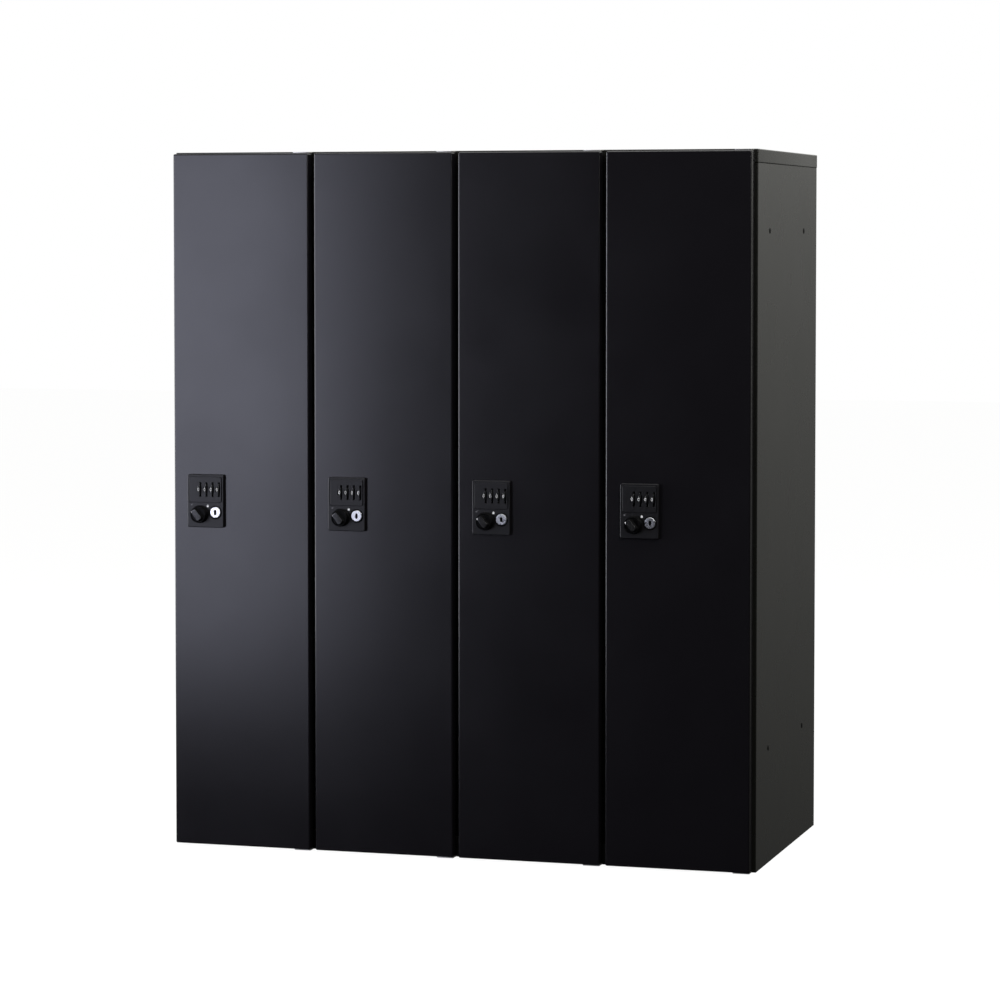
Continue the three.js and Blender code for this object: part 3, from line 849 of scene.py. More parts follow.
@dataclass
class Door:
    """A door: a folded steel pan, its inner sheet, and rubber buffers on its opening side.

    Attributes:
        number: 1 for the left door.
        bend: Outer radius of the folds round the face.
        corner: Radius of the corners, seen from the front.
        flange: Width of the flange behind.
        buffer_radius: Of a rubber buffer.
        buffer_height: Of a rubber buffer.
        buffer_inset: Buffer's middle from the door's edges.
    """

    number: int
    bend: float = 1.9 * MM
    corner: float = 2.4 * MM
    flange: float = 12 * MM
    buffer_radius: float = 4.5 * MM
    buffer_height: float = 2.4 * MM
    buffer_inset: float = 7 * MM

    @property
    def body(self) -> str:
        """The body that the door is."""
        return f"door_{self.number}"

    @cached_property
    def shell(self) -> Bounds:
        """The box of the door's pan."""
        return Bounds.of(f"door_shell_{self.number}")

    def pan(self) -> Surface:
        """The outer skin, as a loft whose rings follow the fold from the flange to the lock's hole.

        Returns:
            The skin in the frame's axes, without its thickness.
        """
        box, case = self.shell, Bounds.of(f"lock_case_{self.number}")
        deep = box.size.y
        fold = rounded_path(
            [(self.flange, deep), (0, deep), (0, 0), (self.corner * 4, 0)], self.bend, steps=8
        )
        rows = [
            (
                box.middle.x,
                box.middle.z,
                box.size.x / 2 - inset,
                box.size.z / 2 - inset,
                max(self.corner - inset, 0.4 * MM),
                box.low.y + depth,
            )
            for inset, depth in fold
        ]
        rim = 2.2 * MM
        rows.append(
            (
                case.middle.x,
                case.middle.z,
                case.size.x / 2 - rim,
                case.size.z / 2 - rim,
                1.0 * MM,
                box.low.y,
            )
        )
        return loft(rows, steps=7).turned(FACING_FRONT)

    def buffers(self) -> Surface:
        """Domed rubber buffers at the top and bottom of the opening side, on the back flange.

        Returns:
            Both buffers in the frame's axes.
        """
        profile = rounded_path(
            [
                (0.2 * MM, self.buffer_height),
                (self.buffer_radius, self.buffer_height),
                (self.buffer_radius, 0),
            ],
            1.2 * MM,
            steps=5,
            rest=0.2 * MM,
        )
        dome = lathe(profile, steps=28).turned(FACING_FRONT)
        box = self.shell
        return joined(
            dome.moved(box.low.x + self.buffer_inset, box.high.y, z)
            for z in (box.low.z + 60 * MM, box.high.z - 60 * MM)
        )

    def build(self) -> None:
        """Makes the pan, the inner sheet and the buffers."""
        place_piece(
            f"door_pan_{self.number}",
            self.pan(),
            DOOR_PAINT,
            self.body,
            replaces=[f"door_shell_{self.number}"],
            sheet=SHEET,
        )
        place_piece(f"door_buffers_{self.number}", self.buffers(), CAP_PLASTIC, self.body)
        soften_node(f"door_liner_{self.number}", INSIDE_PAINT_WITH_PAINTED_LIGHT, self.body, width=0.2 * MM)


# ---------------------------------------------------------------- the locks


@dataclass
class LockCase:
    """The lock's face: a plate with soft edges, a raised panel with four slots, and its markings.

    Attributes:
        number: 1 for the left door.
        corner: Radius of the plate's corners.
        edge: Radius of the plate's front edge.
        panel_rim: Plate's edge to the raised panel.
        panel_height: Of the raised panel.
        panel_proud: Raised panel past the plate.
        groove: Width of the shadow groove round the raised panel.
        slot_width: Of a wheel's slot.
        slot_height: Of a wheel's slot.
        window_height: Of the part of a slot through which the digit shows.
        window_width: Of the same part, from the slot's left side.
        mask: Thickness of the sheet that covers the rest of the digits' side.
        wall: How deep the slots' walls go.
        housing_sheet: Wall of the hollow box behind the plate.
        closed_size: Height of the closed padlock sign.
        closed_left: Midway between knob and plug to the closed sign.
        closed_up: Knob's middle up to the closed sign.
        open_size: Height of the open padlock sign.
        open_right: Knob's left side to the open sign.
        open_up: Knob's middle up to the open sign.
    """

    number: int
    corner: float = 2.6 * MM
    edge: float = 1.0 * MM
    panel_rim: float = 3.3 * MM
    panel_height: float = 38.6 * MM
    panel_proud: float = 0.6 * MM
    groove: float = 1.1 * MM
    slot_width: float = 7.4 * MM
    slot_height: float = 22 * MM
    window_height: float = 7.0 * MM
    window_width: float = 4.4 * MM
    mask: float = 0.1 * MM
    wall: float = 3.4 * MM
    housing_sheet: float = 1.2 * MM
    closed_size: float = 4.4 * MM
    closed_left: float = 2.4 * MM
    closed_up: float = 12.8 * MM
    open_size: float = 3.6 * MM
    open_right: float = 0.2 * MM
    open_up: float = 14.6 * MM

    @property
    def body(self) -> str:
        """The body that the case is fixed to."""
        return f"door_{self.number}"

    @cached_property
    def case(self) -> Bounds:
        """The box of the case's solid."""
        return Bounds.of(f"lock_case_{self.number}")

    @cached_property
    def face(self) -> float:
        """Where the plate's front face is, along Y."""
        return self.case.low.y + self.panel_proud

    @cached_property
    def panel_middle(self) -> float:
        """The raised panel's middle, along Z."""
        return self.case.high.z - self.panel_rim - self.panel_height / 2

    @cached_property
    def wheels(self) -> list[Bounds]:
        """The boxes of the four wheels."""
        return [Bounds.of(f"dial_{self.number}{letter}") for letter in "abcd"]

    def front(self) -> Surface:
        """Plate and raised panel as one loft, then a collar round each slot for the panel's face.

        The rings climb the plate's side, cross its face to the groove's outline, go down and up through
        the groove, and turn in over the panel's rounded edge.

        Returns:
            The front in the frame's axes.
        """
        case, top = self.case, self.case.low.y
        half_x, half_z = case.size.x / 2, case.size.z / 2
        back = Bounds.of(f"door_shell_{self.number}").low.y - 0.05 * MM
        turns = [(0, back), (0, self.face), (self.corner, self.face)]
        side = rounded_path(turns, self.edge, 7, 0.25 * MM)[:-1]
        rows = [
            (
                case.middle.x,
                case.middle.z,
                half_x - inset,
                half_z - inset,
                max(self.corner - inset, 0.3 * MM),
                y,
            )
            for inset, y in side
        ]
        inner = 1.6 * MM
        climb = [(-self.groove - 0.2 * MM, self.face), (-self.groove, self.face)]
        climb += [(-self.groove, self.face + 1.0 * MM), (0, self.face + 1.0 * MM)]
        rise = [(0, self.face + 0.9 * MM), (0, top), (inner, top)]
        climb += rounded_path(rise, 0.5 * MM, 5, 0.1 * MM).tolist()
        panel_x, panel_z = half_x - self.panel_rim, self.panel_height / 2
        rows += [
            (case.middle.x, self.panel_middle, panel_x - inset, panel_z - inset, 2.7 * MM - inset, y)
            for inset, y in climb
        ]
        pitch = self.wheels[1].middle.x - self.wheels[0].middle.x
        left, right = case.middle.x - panel_x + inner, case.middle.x + panel_x - inner
        edges = [left, *(self.wheels[k].middle.x + pitch / 2 for k in range(3)), right]
        collars = [
            self.collar(wheel, (low, high), panel_z - inner)
            for wheel, low, high in zip(self.wheels, edges, edges[1:])
        ]
        return joined([loft(rows, steps=9), *collars]).turned(FACING_FRONT)

    def collar(self, wheel: Bounds, across: tuple[float, float], half_up: float) -> Surface:
        """The face round one slot, the slot's rounded lip, and its walls.

        Args:
            wheel: The wheel's box.
            across: Left and right edge of this slot's share of the face.
            half_up: Half the height of the share.

        Returns:
            The collar, drawn across, up and deep.
        """
        front = self.case.low.y
        half_x, half_z = self.slot_width / 2, self.slot_height / 2
        lip = rounded_path([(0.4 * MM, front), (0, front), (0, front + self.wall)], 0.2 * MM, 3, 0.05 * MM)
        outline = (sum(across) / 2, self.panel_middle, (across[1] - across[0]) / 2, half_up, 0.02 * MM, front)
        rows = [
            (wheel.middle.x, wheel.middle.z, half_x + out, half_z + out, 1.0 * MM + out, y)
            for out, y in lip
        ]
        return loft([outline, *rows], steps=5)

    def masks(self) -> Surface:
        """Thin sheets over the digits' side of each slot, above and below its window.

        Returns:
            The sheets in the frame's axes.
        """
        front = self.case.low.y
        half_x, half_z, window = self.slot_width / 2, self.slot_height / 2, self.window_height / 2
        made = []
        for wheel in self.wheels:
            left = wheel.middle.x - half_x - 0.3 * MM
            for low, high in ((window, half_z + 0.3 * MM), (-half_z - 0.3 * MM, -window)):
                corner = (left, front + 0.03 * MM, wheel.middle.z + low)
                far = (left + self.window_width, front + 0.03 * MM + self.mask, wheel.middle.z + high)
                made.append(slab(corner, far))
        return joined(made)

    def housing(self) -> Surface:
        """The hollow box behind the plate, inside the door.

        Returns:
            The box in the frame's axes, open at the front.
        """
        case = self.case
        half_x, half_z = case.size.x / 2 - 3 * MM, case.size.z / 2 - 3 * MM
        rows = [
            (case.middle.x, case.middle.z, half_x, half_z, 1 * MM, y)
            for y in (self.face + 4.5 * MM, case.high.y)
        ]
        return loft(rows, steps=4, close=(False, True)).turned(FACING_FRONT)

    def ring(self) -> Surface:
        """The raised ring round the key plug; its near-black is partly the ring's own colour and partly
        painted shade of the gap round the plug.

        Returns:
            The ring in the frame's axes.
        """
        plug = Bounds.of(f"key_plug_{self.number}")
        inner, outer = plug.size.x / 2 + 0.2 * MM, plug.size.x / 2 + 1.7 * MM
        rise = 0.7 * MM
        section = rounded_path(
            [(outer, 0.1 * MM), (outer, -rise), (inner, -rise), (inner, 0.1 * MM)], 0.35 * MM, 4, 0.05 * MM
        )
        rows = [(0, 0, radius, radius, radius, depth) for radius, depth in section]
        return loft(rows, steps=13).turned(FACING_FRONT).moved(plug.middle.x, self.face, plug.middle.z)

    def padlock(self, x: float, z: float, size: float, shackle_open: bool) -> Surface:
        """A small padlock sign: a body, and a bow that is a half ring, swung to one side when open.

        Args:
            x: Its middle.
            z: Its middle.
            size: Its height.
            shackle_open: Whether it shows an open padlock.

        Returns:
            The sign in the frame's axes, just proud of the plate.
        """
        lift = -0.03 * MM
        body = loft(
            [
                (0, -0.2 * size, 0.36 * size, 0.27 * size, 0.06 * size, 0),
                (0, -0.2 * size, 0.34 * size, 0.25 * size, 0.05 * size, lift),
            ],
            steps=3,
            close=(True, True),
        )
        turn = np.linspace(0, np.pi, 13)[None, :]
        inner, outer = 0.17 * size, 0.29 * size
        radius = np.array([inner, outer, outer, inner, inner])[:, None]
        depth = np.array([0, 0, lift, lift, 0])[:, None] + 0 * turn
        shift = 0.46 * size if shackle_open else 0.0
        half_ring = [radius * np.cos(turn) + shift, radius * np.sin(turn) + 0.1 * size, depth]
        bow = Surface.grid(np.stack(half_ring, -1))
        return (body + bow).turned(FACING_FRONT).moved(x, self.face, z)

    def build(self) -> None:
        """Makes the case's pieces and its markings."""
        number = self.number
        face = self.front() + self.masks()
        place_piece(f"lock_face_{number}", face, LOCK_BODY, self.body, [f"lock_case_{number}"])
        # The ring's near-black, nearly glossless finish is partly painted shade of the gap round the key
        # plug.
        place_piece(f"lock_ring_{number}", self.ring(), HOLE_PLUG_BLACK_AND_PAINTED_SHADE, self.body)
        place_piece(
            f"lock_housing_{number}", self.housing(), CAP_PLASTIC, self.body, sheet=self.housing_sheet
        )
        knob, plug = Bounds.of(f"knob_{number}"), Bounds.of(f"key_plug_{number}")
        closed_x = (knob.high.x + plug.low.x) / 2 - self.closed_left
        closed = self.padlock(closed_x, knob.middle.z + self.closed_up, self.closed_size, False)
        open_x = knob.low.x + self.open_right
        opened = self.padlock(open_x, knob.middle.z + self.open_up, self.open_size, True)
        place_piece(f"lock_sign_closed_{number}", closed, SIGN_INK, self.body)
        place_piece(f"lock_sign_open_{number}", opened, FAINT_INK, self.body)


@dataclass
class DialWheel:
    """One thumb wheel: a drum with ten digits on its left side, and a toothed disc on its right.

    Attributes:
        number: The lock's number.
        letter: a for the left wheel.
        digits: How many digits are round it.
        teeth: How many teeth are round the disc.
        tooth: Depth of a tooth.
        drum_share: Of the wheel's width, that the drum takes.
        drum_drop: Solid's radius less the drum's.
        disc_rise: Toothed disc's radius past the solid's.
        digit_height: Of a digit.
        digit_width: Stretch of a digit across.
    """

    number: int
    letter: str
    digits: int = 10
    teeth: int = 30
    tooth: float = 0.45 * MM
    drum_share: float = 0.62
    drum_drop: float = 1.3 * MM
    disc_rise: float = 0.8 * MM
    digit_height: float = 4.9 * MM
    digit_width: float = 0.92

    @cached_property
    def wheel(self) -> Bounds:
        """The box of the wheel's solid."""
        return Bounds.of(f"dial_{self.number}{self.letter}")

    @property
    def body(self) -> str:
        """The body that the wheel is."""
        return f"wheel_{self.number}{self.letter}"

    @property
    def radius(self) -> float:
        """Of the solid wheel."""
        return self.wheel.size.y / 2

    def round_part(self, across: tuple[float, float], outline: Array, angle: Array, edge: float) -> Surface:
        """A turned part whose radius depends on the angle round it and drops at both faces.

        Args:
            across: Its two faces, along X from the wheel's middle.
            outline: Radius at each angle.
            angle: The angles, 0 to the front.
            edge: Radius of its rounded edges.

        Returns:
            The part in the frame's axes.
        """
        low, high = across
        path = rounded_path([(low, 2.4 * MM), (low, 0), (high, 0), (high, 2.4 * MM)], edge, 3, 0.05 * MM)
        radius = outline[None, :] - path[:, 1:2]
        x = np.broadcast_to(path[:, :1], radius.shape)
        rings = np.stack([x, -radius * np.cos(angle), radius * np.sin(angle)], -1)
        made = Surface.grid(rings, wrap=True) + Surface.polygon(rings[0]) + Surface.polygon(rings[-1])
        return made.moved(*self.wheel.middle)

    def disc(self) -> Surface:
        """The toothed disc: its radius falls by a half wave between two teeth.

        Returns:
            The disc in the frame's axes.
        """
        angle = np.linspace(0, math.tau, self.teeth * 8, endpoint=False)
        outline = self.radius + self.disc_rise - self.tooth * (0.5 - 0.5 * np.cos(self.teeth * angle))
        half = self.wheel.size.x / 2
        start = half * (2 * self.drum_share - 1)
        return self.round_part((start + 0.05 * MM, half), outline, angle, 0.4 * MM)

    def drum(self) -> Surface:
        """The drum: ten flats, the radius of each being the nearest one over the cosine off its middle.

        Returns:
            The drum in the frame's axes.
        """
        step = math.tau / self.digits
        angle = np.linspace(0, math.tau, self.digits * 8, endpoint=False)
        off = (angle + step / 2) % step - step / 2
        outline = self.flat / np.cos(off)
        half = self.wheel.size.x / 2
        return self.round_part((-half, half * (2 * self.drum_share - 1)), outline, angle, 0.25 * MM)

    @property
    def flat(self) -> float:
        """The wheel's axis to the middle of a digit's flat."""
        return self.radius - self.drum_drop

    def marks(self) -> Surface:
        """The digits, each on its flat, 0 to the front.

        Returns:
            The digits in the frame's axes, just proud of the flats.
        """
        step = math.tau / self.digits
        narrow = np.diag([self.digit_width, 1.0, 1.0])
        shift = -self.wheel.size.x / 2 * (1 - self.drum_share)
        made = [
            glyph(str(digit), self.digit_height)
            .turned(FACING_FRONT @ narrow)
            .moved(x=shift, y=-self.flat - 0.03 * MM)
            .turned(rotation(0, digit * step))
            for digit in range(self.digits)
        ]
        return joined(made).moved(*self.wheel.middle)

    def build(self) -> None:
        """Makes the wheel and its digits."""
        tag = f"{self.number}{self.letter}"
        shape = self.disc() + self.drum()
        place_piece(f"wheel_rim_{tag}", shape, DEEP_BLACK, self.body, replaces=[f"dial_{tag}"], crease=50)
        place_piece(f"wheel_digits_{tag}", self.marks(), WHITE_INK, self.body)


@dataclass
class Knob:
    """The turning knob: a deep round drum, and across it a narrower ridged grip with a white dot beside it.

    Attributes:
        number: The lock's number.
        turn: Angle of the grip from upright, towards the opening edge.
        foot_radius: Of the foot.
        foot_height: Of the foot.
        drum_radius: Of the drum at its foot.
        drum_top: Of the drum at its front edge.
        drum_height: Of the drum.
        grip_size: Width and length of the grip at its foot.
        grip_top: Width and length of the grip's flat top.
        ridges: How many ridges run along the grip's top.
        ridge: Height of a ridge.
        dot_place: Middle of the white dot from the knob's axis, across and up, at rest.
        dot_radius: Of the white dot.
    """

    number: int
    turn: float = math.radians(38)
    foot_radius: float = 13.5 * MM
    foot_height: float = 2.2 * MM
    drum_radius: float = 12.9 * MM
    drum_top: float = 12.2 * MM
    drum_height: float = 9.4 * MM
    grip_size: tuple[float, float] = (10.4 * MM, 21.8 * MM)
    grip_top: tuple[float, float] = (8.2 * MM, 17.6 * MM)
    ridges: int = 4
    ridge: float = 0.35 * MM
    dot_place: tuple[float, float] = (-8.9 * MM, 3.5 * MM)
    dot_radius: float = 1.5 * MM

    @property
    def body(self) -> str:
        """The body that the knob is."""
        return f"latch_{self.number}"

    @cached_property
    def place(self) -> tuple[float, float, float]:
        """The knob's axis and the plate's face: x, y, z."""
        box = Bounds.of(f"knob_{self.number}")
        face = Bounds.of(f"lock_case_{self.number}").low.y + 0.6 * MM
        return box.middle.x, face, box.middle.z

    @cached_property
    def height(self) -> float:
        """Of the grip's top from the plate."""
        return self.place[1] - Bounds.of(f"knob_{self.number}").low.y

    def drum(self) -> Surface:
        """The turned foot and drum, as a profile of radius and height, its front a little dished.

        Returns:
            The drum, drawn across, up and deep.
        """
        foot, drum = self.foot_height, self.drum_height
        profile = rounded_path(
            [
                (0.4 * MM, -0.2 * MM),
                (self.foot_radius, -0.2 * MM),
                (self.foot_radius, -foot),
                (self.drum_radius, -foot - 0.3 * MM),
                (self.drum_top, -drum),
                (self.drum_top - 1.1 * MM, -drum),
                (self.drum_top - 2.2 * MM, -drum + 0.8 * MM),
                (0.4 * MM, -drum + 0.8 * MM),
            ],
            0.35 * MM,
            3,
            0.05 * MM,
        )
        return lathe(profile, steps=72)

    def grip(self) -> Surface:
        """The grip: rings from its foot to its top, the size eased from one to the other.

        Returns:
            The grip, drawn across, up and deep.
        """
        low, high = np.array(self.grip_size) / 2, np.array(self.grip_top) / 2
        foot, top = -self.drum_height + 1.2 * MM, -self.height + self.ridge
        share = np.linspace(0, 1, 12)
        ease = 1 - (1 - share) ** 1.7
        rows = [
            (0, 0, *(low + (high - low) * e), (low + (high - low) * e)[0] * 0.75, foot + (top - foot) * k)
            for k, e in zip(share, ease)
        ]
        rim = 0.5 * MM
        rows += [(0, 0, high[0] - rim * 0.4, high[1] - rim * 0.4, high[0] * 0.6, top - rim * 0.35)]
        rows += [(0, 0, high[0] - rim, high[1] - rim, high[0] * 0.5, top - rim * 0.4)]
        return loft(rows, steps=7, close=(True, True))

    def ribs(self) -> Surface:
        """The ridges on the grip's top: a sheet whose height is a row of half waves across it.

        Returns:
            The sheet, drawn across, up and deep.
        """
        half_x, half_z = self.grip_top[0] / 2 - 0.6 * MM, self.grip_top[1] / 2 - 1.3 * MM
        across = np.linspace(-1, 1, self.ridges * 12 + 1)
        wave = np.abs(np.sin((across + 1) / 2 * np.pi * self.ridges))
        along = np.array([-1.0, -0.97, 0.97, 1.0])
        fade = np.array([0.0, 1.0, 1.0, 0.0])
        base = -self.height + self.ridge + 0.02 * MM
        depth = base - self.ridge * 0.95 * wave[None, :] * fade[:, None]
        x, z = np.broadcast_arrays(across[None, :] * half_x, along[:, None] * half_z)
        return Surface.grid(np.stack([x, z, depth], -1))

    def set_in_place(self, surface: Surface, turn: float | None = None) -> Surface:
        """A surface drawn about the knob's axis, turned to its rest angle and put on the plate.

        Args:
            surface: Drawn across, up and deep.
            turn: Another angle than the grip's.

        Returns:
            The surface in the frame's axes.
        """
        angle = self.turn if turn is None else turn
        return surface.turned(rotation(1, -angle) @ FACING_FRONT).moved(*self.place)

    def dot(self) -> Surface:
        """The white dot on the drum's rim side, a low button.

        Returns:
            The dot, drawn across, up and deep.
        """
        front = -self.drum_height + 0.8 * MM
        rows = [(self.dot_radius, front + depth) for depth in (0.1 * MM, -0.7 * MM)]
        rows += [(self.dot_radius * 0.8, front - 0.95 * MM), (0.2 * MM, front - 1.0 * MM)]
        return lathe(rows, steps=24).moved(self.dot_place[0], self.dot_place[1], 0)

    def shaft(self) -> Surface:
        """The square shaft behind the plate, through the door to the cam.

        Returns:
            The shaft in the frame's axes.
        """
        x, _, z = self.place
        end = Bounds.of(f"knob_{self.number}").high.y
        start = Bounds.of(f"door_shell_{self.number}").low.y
        half, cut = 3.9 * MM, 0.5 * MM
        levels = ((0, start), (0, end - cut), (cut, end))
        rows = [(0, 0, half - inset, half - inset, 1.6 * MM, y) for inset, y in levels]
        return loft(rows, steps=5, close=(True, True)).turned(FACING_FRONT).moved(x, 0, z)

    def build(self) -> None:
        """Makes the knob, its grip, its dot, its shaft and the cam."""
        number = self.number
        node = [f"knob_{number}"]
        drum = self.set_in_place(self.drum())
        place_piece(f"knob_drum_{number}", drum, KNOB_BLACK, self.body, node, crease=35)
        grip = self.set_in_place(self.grip() + self.ribs())
        place_piece(f"knob_grip_{number}", grip, LOCK_GLOSS, self.body)
        place_piece(f"knob_dot_{number}", self.set_in_place(self.dot(), 0.0), SIGN_INK, self.body)
        place_piece(f"knob_shaft_{number}", self.shaft(), ZINC, self.body)
        soften_node(f"latch_cam_{number}", ZINC, self.body, width=0.35 * MM)


@dataclass
class KeyPlug:
    """The key override: a plated disc with a soft edge and a keyway.

    Attributes:
        number: The lock's number.
        edge: Radius of the disc's front edge.
        keyway_width: Of the keyway.
        keyway_height: Of the keyway.
        keyway_depth: Of the keyway.
    """

    number: int
    edge: float = 0.9 * MM
    keyway_width: float = 3.8 * MM
    keyway_height: float = 7.6 * MM
    keyway_depth: float = 7 * MM

    def disc(self) -> Surface:
        """Rings from the back, round the front edge, in to the keyway's outline and down its walls.

        Returns:
            The disc in the frame's axes.
        """
        plug = Bounds.of(f"key_plug_{self.number}")
        radius, front = plug.size.x / 2 - 0.1 * MM, plug.low.y
        side = rounded_path([(0, plug.high.y), (0, front), (radius / 2, front)], self.edge, 6, 0.1 * MM)
        rows = [(0, 0, radius - inset, radius - inset, radius - inset, y) for inset, y in side[:-1]]
        half_x, half_z = self.keyway_width / 2, self.keyway_height / 2
        lip = ((0.5 * MM, front), (0.25 * MM, front), (0, front + 0.3 * MM), (0, front + self.keyway_depth))
        for out, y in lip:
            rows.append((0, 0, half_x + out, half_z + out, half_x + out - 0.02 * MM, y))
        made = loft(rows, steps=13, close=(True, True)).turned(FACING_FRONT)
        return made.moved(plug.middle.x, 0, plug.middle.z)

    def core(self) -> Surface:
        """A near-black block a little inside the keyway's mouth: painted shade that darkens the keyway.

        Returns:
            The block of painted shade in the frame's axes.
        """
        plug = Bounds.of(f"key_plug_{self.number}")
        half_x, half_z = self.keyway_width / 2 - 0.1 * MM, self.keyway_height / 2 - 0.1 * MM
        rows = [(0, 0, half_x, half_z, half_x - 0.02 * MM, plug.low.y + deep) for deep in (0.9 * MM, 4 * MM)]
        made = loft(rows, steps=5, close=(True, True)).turned(FACING_FRONT)
        return made.moved(plug.middle.x, 0, plug.middle.z)

    def build(self) -> None:
        """Makes the disc and the block of painted shade in its keyway."""
        body = f"plug_{self.number}"
        node = [f"key_plug_{self.number}"]
        place_piece(f"plug_disc_{self.number}", self.disc(), CHROME, body, replaces=node)
        # A near-black block in the keyway: painted shade, not a part of the lock.
        place_piece(f"plug_keyway_shade_{self.number}", self.core(), HOLE_PLUG_BLACK_AND_PAINTED_SHADE, body)


# ---------------------------------------------------------------- the cabinet


@dataclass
class Cabinet:
    """The fixed body: side panels, top cap, partitions with their posts, and the plainer sheets.

    Attributes:
        bays: How many compartments.
        bend: Outer radius of the folds.
        post_depth: Of the posts' side walls.
        lip: Of the cap's turned-in lip.
        hole_radius: Of the side panels' joining holes.
    """

    bays: int = 4
    bend: float = 1.5 * MM
    cap_bend: float = 1.2 * MM
    post_depth: float = 14 * MM
    back_flange: float = 14 * MM
    lip: float = 14 * MM
    hole_radius: float = 3.5 * MM
    hole_rows: tuple[float, float] = (171 * MM, 932 * MM)
    hole_insets: tuple[float, float] = (82 * MM, 98 * MM)

    @cached_property
    def strike(self) -> tuple[tuple[float, float], tuple[float, float]]:
        """The strike slots' Y and Z ranges, from the cam's place."""
        cam, knob = Bounds.of("latch_cam_1"), Bounds.of("knob_1")
        panel = Bounds.of("left_side_panel")
        return (
            (panel.low.y + 1.1 * MM, panel.low.y + self.post_depth - 1.5 * MM),
            (knob.middle.z - 36 * MM, knob.middle.z + (cam.high.z - knob.middle.z) + 1 * MM),
        )

    def folded(self, corners: Sequence[Sequence[float]], box: Bounds, slot_from: float | None) -> Surface:
        """A sheet folded along upright edges, with a strike slot in one wall if it is wanted.

        The fold's path is carried straight up; the slot is left out of the grid where the path's Y and
        the level's Z are both inside it.

        Args:
            corners: The path's corners in plan.
            box: The box that gives its height.
            slot_from: X of the wall that has the slot, or None.

        Returns:
            The skin in the frame's axes, without its thickness.
        """
        path = rounded_path(corners, self.bend, steps=6)
        levels = np.array([box.low.z, box.high.z])
        keep = None
        if slot_from is not None:
            (near, far), (low, high) = self.strike
            wall = np.abs(path[:, 0] - slot_from) < 1e-6
            last = path[wall][:, 1]
            cuts = np.array([[slot_from, y] for y in (near, far)])
            forward = last[-1] > last[0]
            start = int(np.flatnonzero(wall)[0]) + 1
            path = np.insert(path, start + (0 if not forward else 1), cuts if forward else cuts[::-1], axis=0)
            levels = np.array([box.low.z, low, high, box.high.z])
            middles = (path[1:] + path[:-1]) / 2
            in_slot = (middles[:, 1] > near) & (middles[:, 1] < far)
            inside = (np.abs(middles[:, 0] - slot_from) < 1e-6) & in_slot
            keep = ~(inside[None, :] & np.array([False, True, False])[:, None])
        points = np.concatenate(
            [
                np.broadcast_to(path[None], (len(levels), *path.shape)),
                np.broadcast_to(levels[:, None, None], (len(levels), len(path), 1)),
            ],
            -1,
        )
        return Surface.grid(points, keep=keep)

    def side_panel(self, side: int) -> Surface:
        """A side panel: front lip, front flange, wall and back flange in one fold.

        Args:
            side: -1 for the left panel and 1 for the right.

        Returns:
            The skin in the frame's axes.
        """
        box = Bounds.of("left_side_panel" if side < 0 else "right_side_panel")
        outer, inner = (box.low.x, box.high.x) if side < 0 else (box.high.x, box.low.x)
        corners = [
            (inner, box.low.y + self.post_depth),
            (inner, box.low.y),
            (outer, box.low.y),
            (outer, box.high.y),
            (outer - side * self.back_flange, box.high.y),
        ]
        return self.folded(corners, box, inner if side < 0 else None)

    def hole_plugs(self, side: int) -> Surface:
        """Black press-in plugs in a side panel's four joining holes: a low dome with a thin rim.

        Args:
            side: -1 for the left panel and 1 for the right.

        Returns:
            The plugs in the frame's axes.
        """
        box = Bounds.of("left_side_panel" if side < 0 else "right_side_panel")
        radius = self.hole_radius + 0.9 * MM
        profile = [(0.2 * MM, -0.75 * MM), (radius * 0.45, -0.72 * MM), (radius * 0.8, -0.55 * MM)]
        profile += [(radius * 0.95, -0.3 * MM), (radius, 0.0), (self.hole_radius - 0.2 * MM, 0.05 * MM)]
        dome = lathe(profile, steps=32).turned(rotation(2, side * math.pi / 2) @ FACING_FRONT)
        outer = box.low.x if side < 0 else box.high.x
        ways = (box.low.y + self.hole_insets[0], box.high.y - self.hole_insets[1])
        return joined(dome.moved(outer, y, z) for y in ways for z in self.hole_rows)

    def top_cap(self) -> Surface:
        """The cap: a tray turned over, its skin lofted from the inner lip up round to the top.

        Returns:
            The skin in the frame's axes, without its thickness.
        """
        box = Bounds.of("top_cap")
        corners = [(self.lip, box.low.z), (0, box.low.z), (0, box.high.z), (20 * MM, box.high.z)]
        fold = rounded_path(corners, self.cap_bend, steps=6)
        rows = [
            (
                box.middle.x,
                box.middle.y,
                box.size.x / 2 - inset,
                box.size.y / 2 - inset,
                max(1.6 * MM - inset, 0.4 * MM),
                z,
            )
            for inset, z in fold
        ]
        return loft(rows, steps=6, close=(False, True)).turned(FACING_UP)

    def partition(self, number: int) -> tuple[Surface, Surface]:
        """A partition's front post and its sheet.

        Args:
            number: 1 for the partition right of the first compartment.

        Returns:
            The post's skin without its thickness, and the closed sheet.
        """
        box = Bounds.of(f"partition_{number}")
        middle = box.middle.x
        low_z, seam = box.low.z, Bounds.of("left_side_panel").high.z
        post_box = Bounds(Vector((box.low.x, box.low.y, low_z)), Vector((box.high.x, box.high.y, seam)))
        back = box.low.y + self.post_depth
        corners = [(box.low.x, back), (box.low.x, box.low.y), (box.high.x, box.low.y), (box.high.x, back)]
        post = self.folded(corners, post_box, box.high.x)
        half = SHEET / 2
        wall = slab((middle - half, box.low.y + SHEET, low_z), (middle + half, box.high.y, seam))
        tab_front = box.low.y + self.lip + 0.3 * MM
        tab_back = Bounds.of("top_cap").high.y - self.lip - 0.3 * MM
        tab = slab((middle - half, tab_front, seam), (middle + half, tab_back, box.high.z))
        return post, wall + tab

